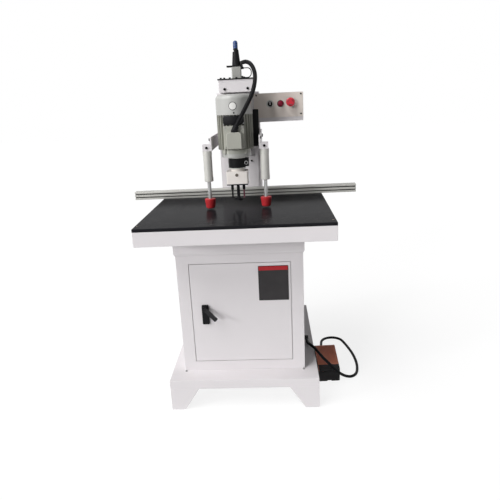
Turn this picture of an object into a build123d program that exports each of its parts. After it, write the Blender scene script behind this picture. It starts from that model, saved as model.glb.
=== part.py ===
# Hinge boring machine: a floor machine that drills the cup and the two dowel holes of a cabinet hinge.
# Millimetres. X runs across the machine, Y from front to back, Z up from the floor.
# Lengths along Y are laid out from the front edge of the table. Every piece is then moved by half of
# the overall depth, so that the origin lies on the floor in the middle of the footprint.

from build123d import *
import os
from math import acos, atan2, cos, degrees, pi, radians, sin, sqrt, tan

# Table
TABLE_WIDTH = 800.0
TABLE_DEPTH = 668.0
TABLE_HEIGHT = 871.0
BOARD_T = 13.0
BOARD_EDGE = 1.5
TRAY_HEIGHT = 61.0
TRAY_SHEET = 4.0
BEARER_WIDTH = 50.0
BEARER_SPACING = 380.0
BEARER_SET_BACK = 10.0
BEARER_WALL = 3.0

# Column and over-arm: the column stands behind the table, on the back of the cabinet
COLUMN_WIDTH = 204.0
COLUMN_DEPTH = 150.0
COLUMN_GAP = 12.0
COLUMN_WALL = 5.0
FLANGE_WIDTH = 260.0
FLANGE_OUT = 8.0
FLANGE_T = 10.0
COVER_WIDTH = 176.0
COVER_T = 4.0
COVER_CLEAR_LOW = 4.0
COVER_CLEAR_HIGH = 10.0
COVER_ROUND = 5.0
ARM_RISE = 329.0
ARM_WIDTH = 160.0
ARM_HEIGHT = 168.0
ARM_WALL = 6.0
ARM_RIB_T = 10.0
WAY_T = 14.0
WAY_DROP = 120.0
WAY_RIB_LIFT = 20.0
BEAM_WIDTH = 153.0
BEAM_DEPTH = 205.0
BEAM_HEIGHT = 52.0
BEAM_ROUND = 4.0
BEAM_SET_BACK = 15.0
BEAM_PLATE_T = 5.0
BEAM_PLATE_OUT = 3.0

# Cabinet and door
CABINET_WIDTH = 552.0
CABINET_FRONT = 178.0
CABINET_BEHIND = 5.0
CABINET_SHEET = 3.0
LIP_HEIGHT = 85.0
LIP_SLOPE = 12.0
LIP_OUT = 6.0
LIP_EDGE = 1.0
DOOR_MARGIN = 56.5
DOOR_LIFT = 49.0
DOOR_DROP = 138.0
DOOR_T = 18.0
DOOR_SHEET = 2.0
DOOR_GAP = 3.0
HINGE_PIN_R = 3.0
HINGE_FROM_EDGE = 5.5
HINGE_FROM_FRONT = 6.5
HINGE_PIN_IN = 8.0
BRACKET_DEPTH = 22.0
BRACKET_T = 4.0
BRACKET_CLEAR = 1.5
BRACKET_LAP = 16.0
BRACKET_NOSE = 9.0
RUNNING_FIT = 0.06
REAR_MARGIN = 36.0
REAR_COVER_DROP = 55.0
REAR_COVER_T = 2.0
REAR_LAP = 15.0
REAR_ROUND = 6.0

# Plinth
PLINTH_OUT = 57.0
PLINTH_FRONT = 85.0
PLINTH_BEHIND = 70.0
PLINTH_HEIGHT = 146.0
PLINTH_SKIRT = 41.0
PLINTH_SHEET = 4.0
LEG_FOOT = 61.0
LEG_TOP = 130.0
PAD_T = 6.0
ANCHOR_INSET = 34.0
ANCHOR_R = 7.0

# Door lock
LOCK_FROM_EDGE = 58.0
LOCK_WIDTH = 31.0
LOCK_HEIGHT = 92.0
LOCK_LIFT = 185.0
LOCK_PROUD = 9.0
LOCK_ROUND = 6.0
LOCK_PIVOT_BELOW_TOP = 16.0
LOCK_BOSS_R = 10.0
LOCK_BOSS_PROUD = 3.0
LOCK_SPINDLE_R = 6.0
LOCK_SPINDLE_CLEAR = 0.5
LOCK_CAM_LENGTH = 50.0
LOCK_CAM_WIDTH = 18.0
LOCK_CAM_T = 4.0
LOCK_CAM_BEHIND = 2.0
LEVER_LENGTH = 72.0
LEVER_WIDTH = 18.0
LEVER_T = 8.0
LEVER_END = 3.9
LEVER_STAND_OFF = 2.0
LEVER_TURN = 52.0
LEVER_LIFT = 24.0
LEVER_PIN_R = 2.0
LUG_HALF = 3.0
LUG_REACH = 3.5
EAR_GAP = 0.25

# Fence
FENCE_LENGTH = 1120.0
FENCE_SIZE = 36.0
FENCE_FROM_BACK = 45.0
SLOT_LOW = 10.8
SLOT_HIGH = 25.2
SLOT_REAR = 18.0
SLOT_TOP = 20.88
SLOT_MOUTH = 5.0
SLOT_ROOM = 10.0
SLOT_TAPER = 2.0
SLOT_LIP = 2.5
SLOT_DEPTH = 7.5

# Boring head: everything is set out from the centre spindle
HEAD_REACH = 300.0
CARRIAGE_WIDTH = 180.0
CARRIAGE_T = 14.0
CARRIAGE_LIFT = 16.0
CARRIAGE_HEIGHT = 196.0
CARRIAGE_STEP = 33.0
TONGUE_WIDTH = 124.0
CARRIAGE_BACK = 86.0
RAIL_SPACING = 104.0
RAIL_WIDTH = 15.0
RAIL_HEIGHT = 13.0
RAIL_END = 8.0
RAIL_GROOVE = 2.0
GUIDE_WIDTH = 34.0
GUIDE_HEIGHT = 20.0
GUIDE_LENGTH = 44.0
GUIDE_FROM_END = 22.0
GUIDE_CLEAR = 0.2
GUIDE_TO_WAY = 4.0
LUG_WIDTH = 26.0
LUG_HEIGHT = 22.0
LUG_TO_WAY = 1.5
SEAT_R = 64.0
SEAT_T = 16.0

# Motor
SHIELD_T = 18.0
SHIELD_LUG_R = 8.0
MOTOR_LENGTH = 146.0
MOTOR_R = 78.0
FRAME_R = 66.0
FRAME_BORE_R = 60.0
FIN_COUNT = 30
FIN_T = 3.0
TOP_SHIELD_T = 8.0
FAN_COVER_R = 79.0
FAN_COVER_HEIGHT = 84.0
FAN_COVER_ROUND = 20.0
FAN_COVER_SHEET = 2.0
VENT_R = 4.5
VENT_RING_R = (22.0, 40.0)
VENT_COUNTS = (8, 14)
SHAFT_R = 9.5
ROTOR_R = 39.0
AIR_GAP = 0.6
CORE_LENGTH = 90.0
FAN_R = 60.0
FAN_HUB_R = 16.0
FAN_HEIGHT = 20.0
FAN_LIFT = 12.0
FAN_SHEET = 3.0
FAN_BLADES = 7
BOX_WIDTH = 86.0
BOX_HEIGHT = 94.0
BOX_T = 10.0
BOX_LIFT = 7.0
LID_WIDTH = 64.0
LID_HEIGHT = 69.0
LID_T = 26.0
LID_ROUND = 12.0
GLAND_X = 3.0
GLAND_R = 14.5
GLAND_HEX_HEIGHT = 10.0
GLAND_NECK_R = 12.0
GLAND_NECK = 17.0
GLAND_LEAN = 30.0

# Collar, gear head, spindles and bits
COLLAR_R = 38.0
COLLAR_BORE_R = 20.0
COLLAR_HEIGHT = 52.0
COLLAR_LUG_OUT = 15.0
COLLAR_LUG_HALF = 16.0
COLLAR_LUG_HEIGHT = 36.0
COLLAR_SLIT = 3.0
SPIGOT_R = 31.0
SPIGOT_HEIGHT = 11.0
GEARBOX_WIDTH = 94.0
GEARBOX_DEPTH = 86.0
GEARBOX_HEIGHT = 60.0
GEARBOX_ROUND = 4.0
GEARBOX_PLATE = 5.0
PATTERN_X = 26.0
PATTERN_Y = 5.5
GEAR_TEETH = 25
GEAR_WIDTH = 18.0
GEAR_BACKLASH = 0.24
GEAR_CLEAR = 2.0
PRESSURE_ANGLE = 20.0
JOURNAL_R = 5.0
HUB_R = 14.0
HUB_RISE = 12.0
HUB_CLEAR = 3.0
BEARING_R = 11.0
BEARING_WIDTH = 8.0
BEARING_SET_IN = 2.0
BEARING_TO_GEAR = 6.0
CENTRE_SLEEVE_R = 7.0
SIDE_SLEEVE_R = 6.5
SIDE_SLEEVE_LENGTH = 25.0
SLEEVE_CLEAR = 0.5
CUP_BIT_D = 35.0
CUP_BIT_LIFT = 25.0
CUP_BIT_LENGTH = 20.0
CUP_BIT_POINT = 3.0
CUP_BIT_HEAD = 10.0
DOWEL_BIT_D = 8.0
DOWEL_BIT_SHORT = 12.0
DOWEL_BIT_POINT = 2.0

# Feed cylinder and depth stop
FEED_X = 12.0
FEED_BEHIND = 12.0
FEED_SIZE = 42.0
FEED_HEIGHT = 51.0
FEED_ROUND = 4.0
FEED_BORE_R = 16.0
FEED_ROD_R = 6.0
FEED_ROD_ROOM = 2.0
FEED_CAP = 8.0
FEED_END_ROOM = 2.0
PISTON_T = 10.0
PISTON_FIT = 0.05
STOP_PLATE_WIDTH = 72.0
STOP_PLATE_RIGHT = 8.0
STOP_PLATE_T = 6.0
SLEEVE_R = 19.0
SLEEVE_TOP_R = 13.0
SLEEVE_HEIGHT = 64.0
SLEEVE_FLOOR = 6.0
NOTCH_DEPTH = 7.0
NOTCH_IN = 5.0
KNOB_R = 10.3
KNOB_HEIGHT = 39.0
KNOB_ROUND = 8.3
KNOB_STEM_R = 5.0
KNOB_STEM_END = 10.0
KNOB_GAP = 0.3

# Hold-down clamps
CLAMP_REACH = 23.0
CLAMP_AHEAD = 45.0
CLAMP_ARM_T = 7.0
CLAMP_ARM_RISE = 258.0
CLAMP_ARM_HEIGHT = 58.0
CLAMP_ARM_AHEAD = 17.0
CLAMP_ARM_SHORT = 4.0
CLAMP_BLOCK_HEIGHT = 28.0
CLAMP_BLOCK_DEPTH = 36.0
CLAMP_BLOCK_IN = 2.0
CLAMP_LENGTH = 133.0
CLAMP_CAP = 18.0
CLAMP_CAP_R = 20.0
CLAMP_CAP_EDGE = 1.5
CLAMP_BARREL_R = 19.2
CLAMP_BORE_R = 16.0
CLAMP_ROD_R = 8.0
CLAMP_END_GAP = 0.1
FOOT_R = 24.0
FOOT_LOW_R = 20.5
FOOT_ROUND = 9.0
FOOT_HEIGHT = 44.0
FOOT_ABOVE_TABLE = 4.0
FOOT_RIM = 8.0

# Control box
CONTROL_WIDTH = 230.0
CONTROL_AHEAD = 120.0
CONTROL_DEPTH = 90.0
CONTROL_LIFT = 31.0
CONTROL_HEIGHT = 129.0
CONTROL_SHEET = 2.0
CONTROL_ROUND = 3.0
CONTROL_LAP = 8.0
PANEL_HEIGHT = 110.0
PANEL_T = 3.0
PANEL_IN = 1.0
SELECTOR_IN = 76.0
LAMP_IN = 124.0
ESTOP_IN = 170.0
SWITCH_LIFT = 80.0
ESTOP_LIFT = 85.0
SWITCH_HOLE_R = 11.0
SWITCH_NECK = 10.0
SWITCH_BLOCK = 38.0
SWITCH_BLOCK_WIDTH = 30.0
SWITCH_BLOCK_HEIGHT = 36.0
SWITCH_BORE = 20.0
BEZEL_R = 14.5
BEZEL_PROUD = 6.0
SELECTOR_R = 11.0
SELECTOR_GRIP = 9.0
SELECTOR_STEM_R = 6.0
SELECTOR_STEM = 12.0
SELECTOR_GAP = 0.3
LENS_R = 12.5
LENS_PROUD = 10.0
LENS_ROUND = 7.0
ESTOP_R = 20.0
ESTOP_COLLAR_R = 15.5
ESTOP_COLLAR_PROUD = 12.0
ESTOP_STEM_R = 8.0
ESTOP_STEM = 8.0
ESTOP_STAND_OFF = 9.0
ESTOP_HEAD = 13.0
ESTOP_ROUND = 7.0

# Foot valve
PEDAL_X = 402.0
PEDAL_Y = 300.0
PEDAL_TURN = 3.0
PEDAL_WIDTH = 104.0
PEDAL_LENGTH = 228.0
PEDAL_WALL_HEIGHT = 50.0
PEDAL_WALL = 5.0
PEDAL_ROUND = 8.0
PEDAL_NOTCH_R = 10.0
PEDAL_AXLE_R = 3.0
PEDAL_AXLE_BACK = 18.0
PEDAL_AXLE_Z = 44.0
TREADLE_WIDTH = 102.0
TREADLE_T = 7.0
TREADLE_FRONT_Z = 66.0
TREADLE_LENGTH = 150.0
TREADLE_SLOPE = 18.0
TREADLE_EAR_X = 30.0
TREADLE_EAR_T = 10.0
TREADLE_EAR_R = 7.0
VALVE_WIDTH = 54.0
VALVE_LENGTH = 95.0
VALVE_RISE = 4.0
PLUNGER_TOP = 77.0
PLUNGER_R = 7.0
PLUNGER_IN = 16.0
PORT_ACROSS = 6.0
PORT_Z = 30.0
PORT_R = 9.5
PORT_LENGTH = 14.0

# Hoses and their fittings
HOSE_R = 7.0
CONDUIT_R = 9.0
TUBE_R = 2.0
OUTLET_RUN = 54.0
PORT_RUN = 34.0
PORT_RISE = 72.0
OUTLET_STAND_OFF = 26.0
OUTLET_BACK = 274.0
OUTLET_LIFT = 17.0
OUTLET_R = 9.5
OUTLET_REACH = 16.0
CONDUIT_END_X = 8.0
CONDUIT_END_AHEAD = 40.0
ARM_GLAND_HEIGHT = 16.0
AIR_FIT_R = 4.5
AIR_FIT_REACH = 12.0
AIR_DROP = 6.0
AIR_AHEAD = 10.0
AIR_LOOP = 40.0
AIR_LOOP_OUT = 11.5
AIR_RUN = 25.0
AIR_STAND_OFF = 1.5

# Screws
SCREW_R = 4.5
SCREW_HEAD = 5.0
ARM_SCREW_R = 6.0
BEAM_SCREW_R = 5.5
BEAM_SCREW_X = 50.0
BEAM_SCREW_LIFT = 14.0
TOP_SCREW_PLACES = (-65.0, -50.0, -26.0, 3.0, 37.0)
TOP_SCREW_BACK = 12.0
COVER_SCREW_IN = 34.0
COVER_SCREW_LOW = 40.0
COVER_SCREW_HIGH = 169.0
ARM_SCREW_FRONT = 14.0
ARM_SCREW_DROP = 10.0
ARM_SCREW_BACKS = (40.0, 110.0)
REAR_SCREW_R = 3.5
REAR_SCREW_HEAD = 2.5
REAR_SCREW_IN = 8.0
FOOT_BOLT_R = 7.0
FOOT_BOLT_IN = 13.0
FOOT_BOLT_Y = 20.0

# Levels and lines that follow from the sizes above
COLUMN_FRONT = TABLE_DEPTH + COLUMN_GAP
HEAD_Y = COLUMN_FRONT - HEAD_REACH
ARM_BOTTOM = TABLE_HEIGHT + ARM_RISE
ARM_TOP = ARM_BOTTOM + ARM_HEIGHT
WAY_BOTTOM = ARM_BOTTOM - WAY_DROP
CARRIAGE_BOTTOM = WAY_BOTTOM + CARRIAGE_LIFT
CARRIAGE_TOP = CARRIAGE_BOTTOM + CARRIAGE_HEIGHT
SEAT_BOTTOM = CARRIAGE_BOTTOM
COLLAR_BOTTOM = SEAT_BOTTOM - COLLAR_HEIGHT
GEARBOX_TOP = COLLAR_BOTTOM - SPIGOT_HEIGHT
GEARBOX_BOTTOM = GEARBOX_TOP - GEARBOX_HEIGHT
SIDE_SLEEVE_BOTTOM = GEARBOX_BOTTOM - SIDE_SLEEVE_LENGTH
CUP_BIT_TIP = TABLE_HEIGHT + CUP_BIT_LIFT
DOWEL_BIT_TIP = CUP_BIT_TIP + DOWEL_BIT_SHORT
BEAM_FRONT = HEAD_Y + BEAM_SET_BACK
FENCE_FRONT = TABLE_DEPTH - FENCE_FROM_BACK
CLAMP_X = COLUMN_WIDTH / 2 + CLAMP_REACH
CLAMP_Y = HEAD_Y - CLAMP_AHEAD
CLAMP_ARM_FRONT = CLAMP_Y - CLAMP_ARM_AHEAD
CLAMP_ARM_BOTTOM = TABLE_HEIGHT + CLAMP_ARM_RISE
CLAMP_ARM_TOP = CLAMP_ARM_BOTTOM + CLAMP_ARM_HEIGHT
CONTROL_LEFT = ARM_WIDTH / 2
CONTROL_FRONT = COLUMN_FRONT - CONTROL_AHEAD
CONTROL_BOTTOM = ARM_BOTTOM + CONTROL_LIFT
SELECTOR_X = CONTROL_LEFT + SELECTOR_IN
LAMP_X = CONTROL_LEFT + LAMP_IN
ESTOP_X = CONTROL_LEFT + ESTOP_IN
SWITCH_Z = CONTROL_BOTTOM + SWITCH_LIFT
ESTOP_Z = CONTROL_BOTTOM + ESTOP_LIFT
BOX_FRONT = HEAD_Y - MOTOR_R - BOX_T
BOX_BOTTOM = SEAT_BOTTOM + SEAT_T + SHIELD_T + BOX_LIFT
CONDUIT_END_Y = COLUMN_FRONT - CONDUIT_END_AHEAD
OVERALL_DEPTH = COLUMN_FRONT + COLUMN_DEPTH + CABINET_BEHIND + PLINTH_BEHIND


def block(x0, x1, y0, y1, z0, z1):
    return Pos((x0 + x1) / 2, (y0 + y1) / 2, (z0 + z1) / 2) * Box(x1 - x0, y1 - y0, z1 - z0)


def post(x, y, z0, z1, r):
    return Pos(x, y, (z0 + z1) / 2) * Cylinder(r, z1 - z0)


def barrel_y(x, z, y0, y1, r):
    return Pos(x, (y0 + y1) / 2, z) * Rot(90, 0, 0) * Cylinder(r, y1 - y0)


def barrel_x(y, z, x0, x1, r):
    return Pos((x0 + x1) / 2, y, z) * Rot(0, 90, 0) * Cylinder(r, x1 - x0)


def prism_y(points, y0, y1):
    outline = Polyline(*[(x, y0, z) for x, z in points], close=True)
    return extrude(make_face(outline), amount=y1 - y0, dir=(0, 1, 0))


def prism_x(points, x0, x1):
    outline = Polyline(*[(x0, y, z) for y, z in points], close=True)
    return extrude(make_face(outline), amount=x1 - x0, dir=(1, 0, 0))


def prism_z(points, z0, z1):
    outline = Polyline(*[(x, y, z0) for x, y in points], close=True)
    return extrude(make_face(outline), amount=z1 - z0, dir=(0, 0, 1))


def upright_edges(shape):
    return shape.edges().filter_by(Axis.Z)


def flipped(shape):
    return mirror(shape, about=Plane.YZ)


def save(node, *shapes):
    moved = [Pos(0, -OVERALL_DEPTH / 2, 0) * shape for shape in shapes]
    solids = []
    for shape in moved:
        solids.extend(shape.solids())
    whole = solids[0] if len(solids) == 1 else Compound(children=solids)
    export_step(whole, "parts/" + node + ".step")


def bend_radii(points):
    radii = []
    for before, here, after in zip(points, points[1:], points[2:]):
        a = Vector(*here) - Vector(*before)
        b = Vector(*after) - Vector(*here)
        turn = acos(max(-1.0, min(1.0, a.normalized().dot(b.normalized()))))
        radii.append(0.45 * min(a.length, b.length) / tan(turn / 2))
    return radii


def hose(name, points, r):
    radii = bend_radii(points)
    line = FilletPolyline(*points, radius=radii)
    start = Plane(origin=points[0], z_dir=Vector(*points[1]) - Vector(*points[0]))
    tube = sweep(start * Circle(r), path=line)
    length = sum(edge.length for edge in line.edges())
    print(name, "length", round(length, 1), "arc radii", [round(x, 1) for x in radii])
    print(name, "volume over section times length", round(tube.volume / (pi * r * r * length), 4))
    return tube


os.makedirs("parts", exist_ok=True)

# Plinth tray and legs
plinth_half = CABINET_WIDTH / 2 + PLINTH_OUT
leg_height = PLINTH_HEIGHT - PLINTH_SKIRT
plinth_tray = block(-plinth_half, plinth_half, PLINTH_FRONT, OVERALL_DEPTH, leg_height, PLINTH_HEIGHT)
plinth_tray -= block(
    -plinth_half + PLINTH_SHEET,
    plinth_half - PLINTH_SHEET,
    PLINTH_FRONT + PLINTH_SHEET,
    OVERALL_DEPTH - PLINTH_SHEET,
    leg_height - 1,
    PLINTH_HEIGHT - PLINTH_SHEET,
)
save("plinth_tray", plinth_tray)


def plinth_leg(x_sign, y_edge, y_sign):
    x_edge = x_sign * plinth_half
    across = [
        (x_edge, 0),
        (x_edge - x_sign * LEG_FOOT, 0),
        (x_edge - x_sign * LEG_TOP, leg_height),
        (x_edge, leg_height),
    ]
    along = [
        (y_edge, 0),
        (y_edge + y_sign * LEG_FOOT, 0),
        (y_edge + y_sign * LEG_TOP, leg_height),
        (y_edge, leg_height),
    ]
    y_in = y_edge + y_sign * PLINTH_SHEET
    x_in = x_edge - x_sign * PLINTH_SHEET
    face = prism_y(across, min(y_edge, y_in), max(y_edge, y_in))
    side = prism_x(along, min(x_edge, x_in), max(x_edge, x_in))
    pad_x = sorted([x_edge, x_edge - x_sign * LEG_FOOT])
    pad_y = sorted([y_edge, y_edge + y_sign * LEG_FOOT])
    pad = block(pad_x[0], pad_x[1], pad_y[0], pad_y[1], 0, PAD_T)
    leg = face + side + pad
    hole_x = x_edge - x_sign * ANCHOR_INSET
    hole_y = y_edge + y_sign * ANCHOR_INSET
    return leg - post(hole_x, hole_y, -1, PAD_T + 1, ANCHOR_R)


legs = [plinth_leg(sx, ye, sy) for sx in (-1, 1) for ye, sy in ((PLINTH_FRONT, 1), (OVERALL_DEPTH, -1))]
save("plinth_legs", *legs)

# Cabinet
cabinet_half = CABINET_WIDTH / 2
cabinet_back = COLUMN_FRONT + COLUMN_DEPTH + CABINET_BEHIND
cabinet_top = TABLE_HEIGHT - BOARD_T - TRAY_HEIGHT
door_half = cabinet_half - DOOR_MARGIN
door_bottom = PLINTH_HEIGHT + DOOR_LIFT
door_top = cabinet_top - DOOR_DROP
door_back = CABINET_FRONT + DOOR_T
cabinet = block(-cabinet_half, cabinet_half, CABINET_FRONT, cabinet_back, PLINTH_HEIGHT, cabinet_top)
cabinet -= block(
    -cabinet_half + CABINET_SHEET,
    cabinet_half - CABINET_SHEET,
    CABINET_FRONT + CABINET_SHEET,
    cabinet_back - CABINET_SHEET,
    PLINTH_HEIGHT + CABINET_SHEET,
    cabinet_top - CABINET_SHEET,
)
cabinet -= block(
    -door_half - DOOR_GAP,
    door_half + DOOR_GAP,
    CABINET_FRONT - 1,
    CABINET_FRONT + CABINET_SHEET + 1,
    door_bottom - DOOR_GAP,
    door_top + DOOR_GAP,
)
cover_half = cabinet_half - REAR_MARGIN
cover_top = cabinet_top - LIP_HEIGHT - LIP_SLOPE - REAR_COVER_DROP
cabinet -= block(
    -cover_half + REAR_LAP,
    cover_half - REAR_LAP,
    cabinet_back - CABINET_SHEET - 1,
    cabinet_back + 1,
    door_bottom + REAR_LAP,
    cover_top - REAR_LAP,
)
rear_cover = block(-cover_half, cover_half, cabinet_back, cabinet_back + REAR_COVER_T, door_bottom, cover_top)
rear_cover = fillet(rear_cover.edges().filter_by(Axis.Y), REAR_ROUND)
save("rear_cover", rear_cover)

lip_back = cabinet_back + LIP_OUT
lip = block(
    -cabinet_half - LIP_OUT,
    cabinet_half + LIP_OUT,
    CABINET_FRONT - LIP_OUT,
    lip_back,
    cabinet_top - LIP_HEIGHT,
    cabinet_top,
)
lip_z = cabinet_top - LIP_HEIGHT
lip_mid = (CABINET_FRONT + cabinet_back) / 2
lip_deep = cabinet_back - CABINET_FRONT
slope_top = Rectangle(CABINET_WIDTH + 2 * LIP_OUT, lip_deep + 2 * LIP_OUT)
slope_low = Rectangle(CABINET_WIDTH + 2 * LIP_EDGE, lip_deep + 2 * LIP_EDGE)
lip += loft([Pos(0, lip_mid, lip_z - LIP_SLOPE) * slope_low, Pos(0, lip_mid, lip_z) * slope_top])
lip -= block(-cabinet_half, cabinet_half, CABINET_FRONT, cabinet_back, PLINTH_HEIGHT, cabinet_top + 1)
save("cabinet_shell", cabinet + lip)

# Door: a folded pan that turns on two pins at its right edge
pin_x = door_half - HINGE_FROM_EDGE
pin_y = CABINET_FRONT + HINGE_FROM_FRONT
door = block(-door_half, door_half, CABINET_FRONT, door_back, door_bottom, door_top)
door -= block(
    -door_half + DOOR_SHEET,
    door_half - DOOR_SHEET,
    CABINET_FRONT + DOOR_SHEET,
    door_back + 1,
    door_bottom + DOOR_SHEET,
    door_top - DOOR_SHEET,
)
door -= post(pin_x, pin_y, door_bottom - 1, door_top + 1, HINGE_PIN_R + RUNNING_FIT)
lock_x = -door_half + LOCK_FROM_EDGE
lock_bottom = door_bottom + LOCK_LIFT
lock_z = lock_bottom + LOCK_HEIGHT - LOCK_PIVOT_BELOW_TOP
spindle_hole_r = LOCK_SPINDLE_R + LOCK_SPINDLE_CLEAR
door -= barrel_y(lock_x, lock_z, CABINET_FRONT - 1, CABINET_FRONT + DOOR_SHEET + 1, spindle_hole_r)
save("door", door)

bracket_back = CABINET_FRONT + CABINET_SHEET + BRACKET_DEPTH
bracket_gap = DOOR_GAP + BRACKET_CLEAR
bracket_right = door_half + DOOR_GAP + BRACKET_LAP
hinge_top = block(
    pin_x - BRACKET_NOSE,
    bracket_right,
    CABINET_FRONT + CABINET_SHEET,
    bracket_back,
    door_top + bracket_gap,
    door_top + bracket_gap + BRACKET_T,
)
hinge_top += post(pin_x, pin_y, door_top - HINGE_PIN_IN, door_top + bracket_gap + BRACKET_T, HINGE_PIN_R)
hinge_low = block(
    pin_x - BRACKET_NOSE,
    bracket_right,
    CABINET_FRONT + CABINET_SHEET,
    bracket_back,
    door_bottom - bracket_gap - BRACKET_T,
    door_bottom - bracket_gap,
)
low_pin_z = door_bottom - bracket_gap - BRACKET_T
hinge_low += post(pin_x, pin_y, low_pin_z, door_bottom + HINGE_PIN_IN, HINGE_PIN_R)
save("door_hinges", hinge_top, hinge_low)

# Door lock: plate, turning boss with its cam behind the door, and the lifting lever
lock_front = CABINET_FRONT - LOCK_PROUD
lock_body = block(
    lock_x - LOCK_WIDTH / 2,
    lock_x + LOCK_WIDTH / 2,
    lock_front,
    CABINET_FRONT,
    lock_bottom,
    lock_bottom + LOCK_HEIGHT,
)
lock_body = fillet(lock_body.edges().filter_by(Axis.Y), LOCK_ROUND)
lock_body = fillet(lock_body.faces().sort_by(Axis.Y)[0].edges(), 2)
lock_body -= barrel_y(lock_x, lock_z, lock_front - 1, CABINET_FRONT + 1, LOCK_BOSS_R + RUNNING_FIT)
save("lock_body", lock_body)

lock_axis = Pos(lock_x, 0, lock_z) * Rot(0, -LEVER_TURN, 0)
boss_front = lock_front - LOCK_BOSS_PROUD
lever_pin_y = boss_front - LEVER_T / 2 - LEVER_STAND_OFF
cam_y = door_back + LOCK_CAM_BEHIND
boss = barrel_y(0, 0, boss_front, CABINET_FRONT - 0.3, LOCK_BOSS_R)
boss += barrel_y(0, 0, CABINET_FRONT - 0.5, cam_y, LOCK_SPINDLE_R)
boss += block(-LUG_HALF, LUG_HALF, lever_pin_y - LUG_REACH, boss_front + 1, -LUG_REACH, LUG_REACH)
boss += barrel_x(lever_pin_y, 0, -LEVER_WIDTH / 2, LEVER_WIDTH / 2, LEVER_PIN_R)
cam_half = LOCK_CAM_WIDTH / 2
boss += block(-LOCK_CAM_LENGTH, cam_half, cam_y, cam_y + LOCK_CAM_T, -cam_half, cam_half)
save("lock_boss", lock_axis * boss)

lever = block(-LEVER_WIDTH / 2, LEVER_WIDTH / 2, -LEVER_T / 2, LEVER_T / 2, -LEVER_LENGTH, LEVER_END)
lever = fillet(lever.edges().filter_by(Axis.Y), 3)
lever -= block(-LUG_HALF - EAR_GAP, LUG_HALF + EAR_GAP, -LEVER_T, LEVER_T, -6, 6)
lever -= barrel_x(0, 0, -LEVER_WIDTH, LEVER_WIDTH, LEVER_PIN_R + RUNNING_FIT)
lever = Pos(0, lever_pin_y, 0) * Rot(-LEVER_LIFT, 0, 0) * lever
save("lock_lever", lock_axis * lever)

# Table tray, its bearers on the cabinet, and the dark board
table_half = TABLE_WIDTH / 2
tray_top = cabinet_top + TRAY_HEIGHT
tray = block(-table_half, table_half, 0, TABLE_DEPTH, cabinet_top, tray_top)
tray -= block(
    -table_half + TRAY_SHEET,
    table_half - TRAY_SHEET,
    TRAY_SHEET,
    TABLE_DEPTH - TRAY_SHEET,
    cabinet_top - 1,
    tray_top - TRAY_SHEET,
)

def bearer(x):
    half = BEARER_WIDTH / 2
    y0 = CABINET_FRONT + BEARER_SET_BACK
    y1 = TABLE_DEPTH - TRAY_SHEET
    z1 = tray_top - TRAY_SHEET
    outer = block(x - half, x + half, y0, y1, cabinet_top, z1)
    w = BEARER_WALL
    return outer - block(x - half + w, x + half - w, y0 - 1, y1 + 1, cabinet_top + w, z1 - w)


save("table_tray", tray, bearer(-BEARER_SPACING / 2), bearer(BEARER_SPACING / 2))

board = block(-table_half, table_half, 0, TABLE_DEPTH, tray_top, TABLE_HEIGHT)
board = fillet(board.faces().sort_by(Axis.Z)[-1].edges(), BOARD_EDGE)
save("table_board", board)

# Fence: an aluminium profile with two slots in its face, one on top and one behind
fence_half = FENCE_LENGTH / 2
fence_back = FENCE_FRONT + FENCE_SIZE
fence_top = TABLE_HEIGHT + FENCE_SIZE


def slot_yz(y, z, dy, dz):
    mouth = SLOT_MOUTH / 2
    room = SLOT_ROOM / 2
    sides = ((-mouth, -1.0), (-mouth, SLOT_LIP), (-room, SLOT_LIP), (-room + SLOT_TAPER, SLOT_DEPTH))
    loop = list(sides) + [(-a, b) for a, b in reversed(sides)]
    if dy:
        points = [(y + dy * b, z + a) for a, b in loop]
    else:
        points = [(y + a, z + dz * b) for a, b in loop]
    return prism_x(points, -fence_half - 1, fence_half + 1)


fence = block(-fence_half, fence_half, FENCE_FRONT, fence_back, TABLE_HEIGHT, fence_top)
fence -= slot_yz(FENCE_FRONT, TABLE_HEIGHT + SLOT_LOW, 1, 0)
fence -= slot_yz(FENCE_FRONT, TABLE_HEIGHT + SLOT_HIGH, 1, 0)
fence -= slot_yz(fence_back, TABLE_HEIGHT + SLOT_REAR, -1, 0)
fence -= slot_yz(FENCE_FRONT + SLOT_TOP, fence_top, 0, -1)
save("fence_rail", fence)

# Column on the back of the cabinet, with its front cover and cap
column_half = COLUMN_WIDTH / 2
column_back = COLUMN_FRONT + COLUMN_DEPTH
flange_top = cabinet_top + FLANGE_T
column = block(-column_half, column_half, COLUMN_FRONT, column_back, cabinet_top, ARM_TOP)
column -= block(
    -column_half + COLUMN_WALL,
    column_half - COLUMN_WALL,
    COLUMN_FRONT + COLUMN_WALL,
    column_back - COLUMN_WALL,
    flange_top,
    ARM_TOP + 1,
)
flange_half = FLANGE_WIDTH / 2
flange = block(-flange_half, flange_half, COLUMN_FRONT - FLANGE_OUT, cabinet_back, cabinet_top, flange_top)
column += flange

cap = block(-column_half, column_half, COLUMN_FRONT, column_back, ARM_TOP, ARM_TOP + COVER_T)
cap = fillet(cap.faces().sort_by(Axis.Z)[-1].edges(), 1.5)
save("column", column, cap)

cover_z0 = flange_top + COVER_CLEAR_LOW
cover_z1 = ARM_BOTTOM - COVER_CLEAR_HIGH
cover_front = COLUMN_FRONT - COVER_T
column_cover = block(-COVER_WIDTH / 2, COVER_WIDTH / 2, cover_front, COLUMN_FRONT, cover_z0, cover_z1)
column_cover = fillet(column_cover.edges().filter_by(Axis.Y), COVER_ROUND)
save("column_cover", column_cover)

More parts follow.
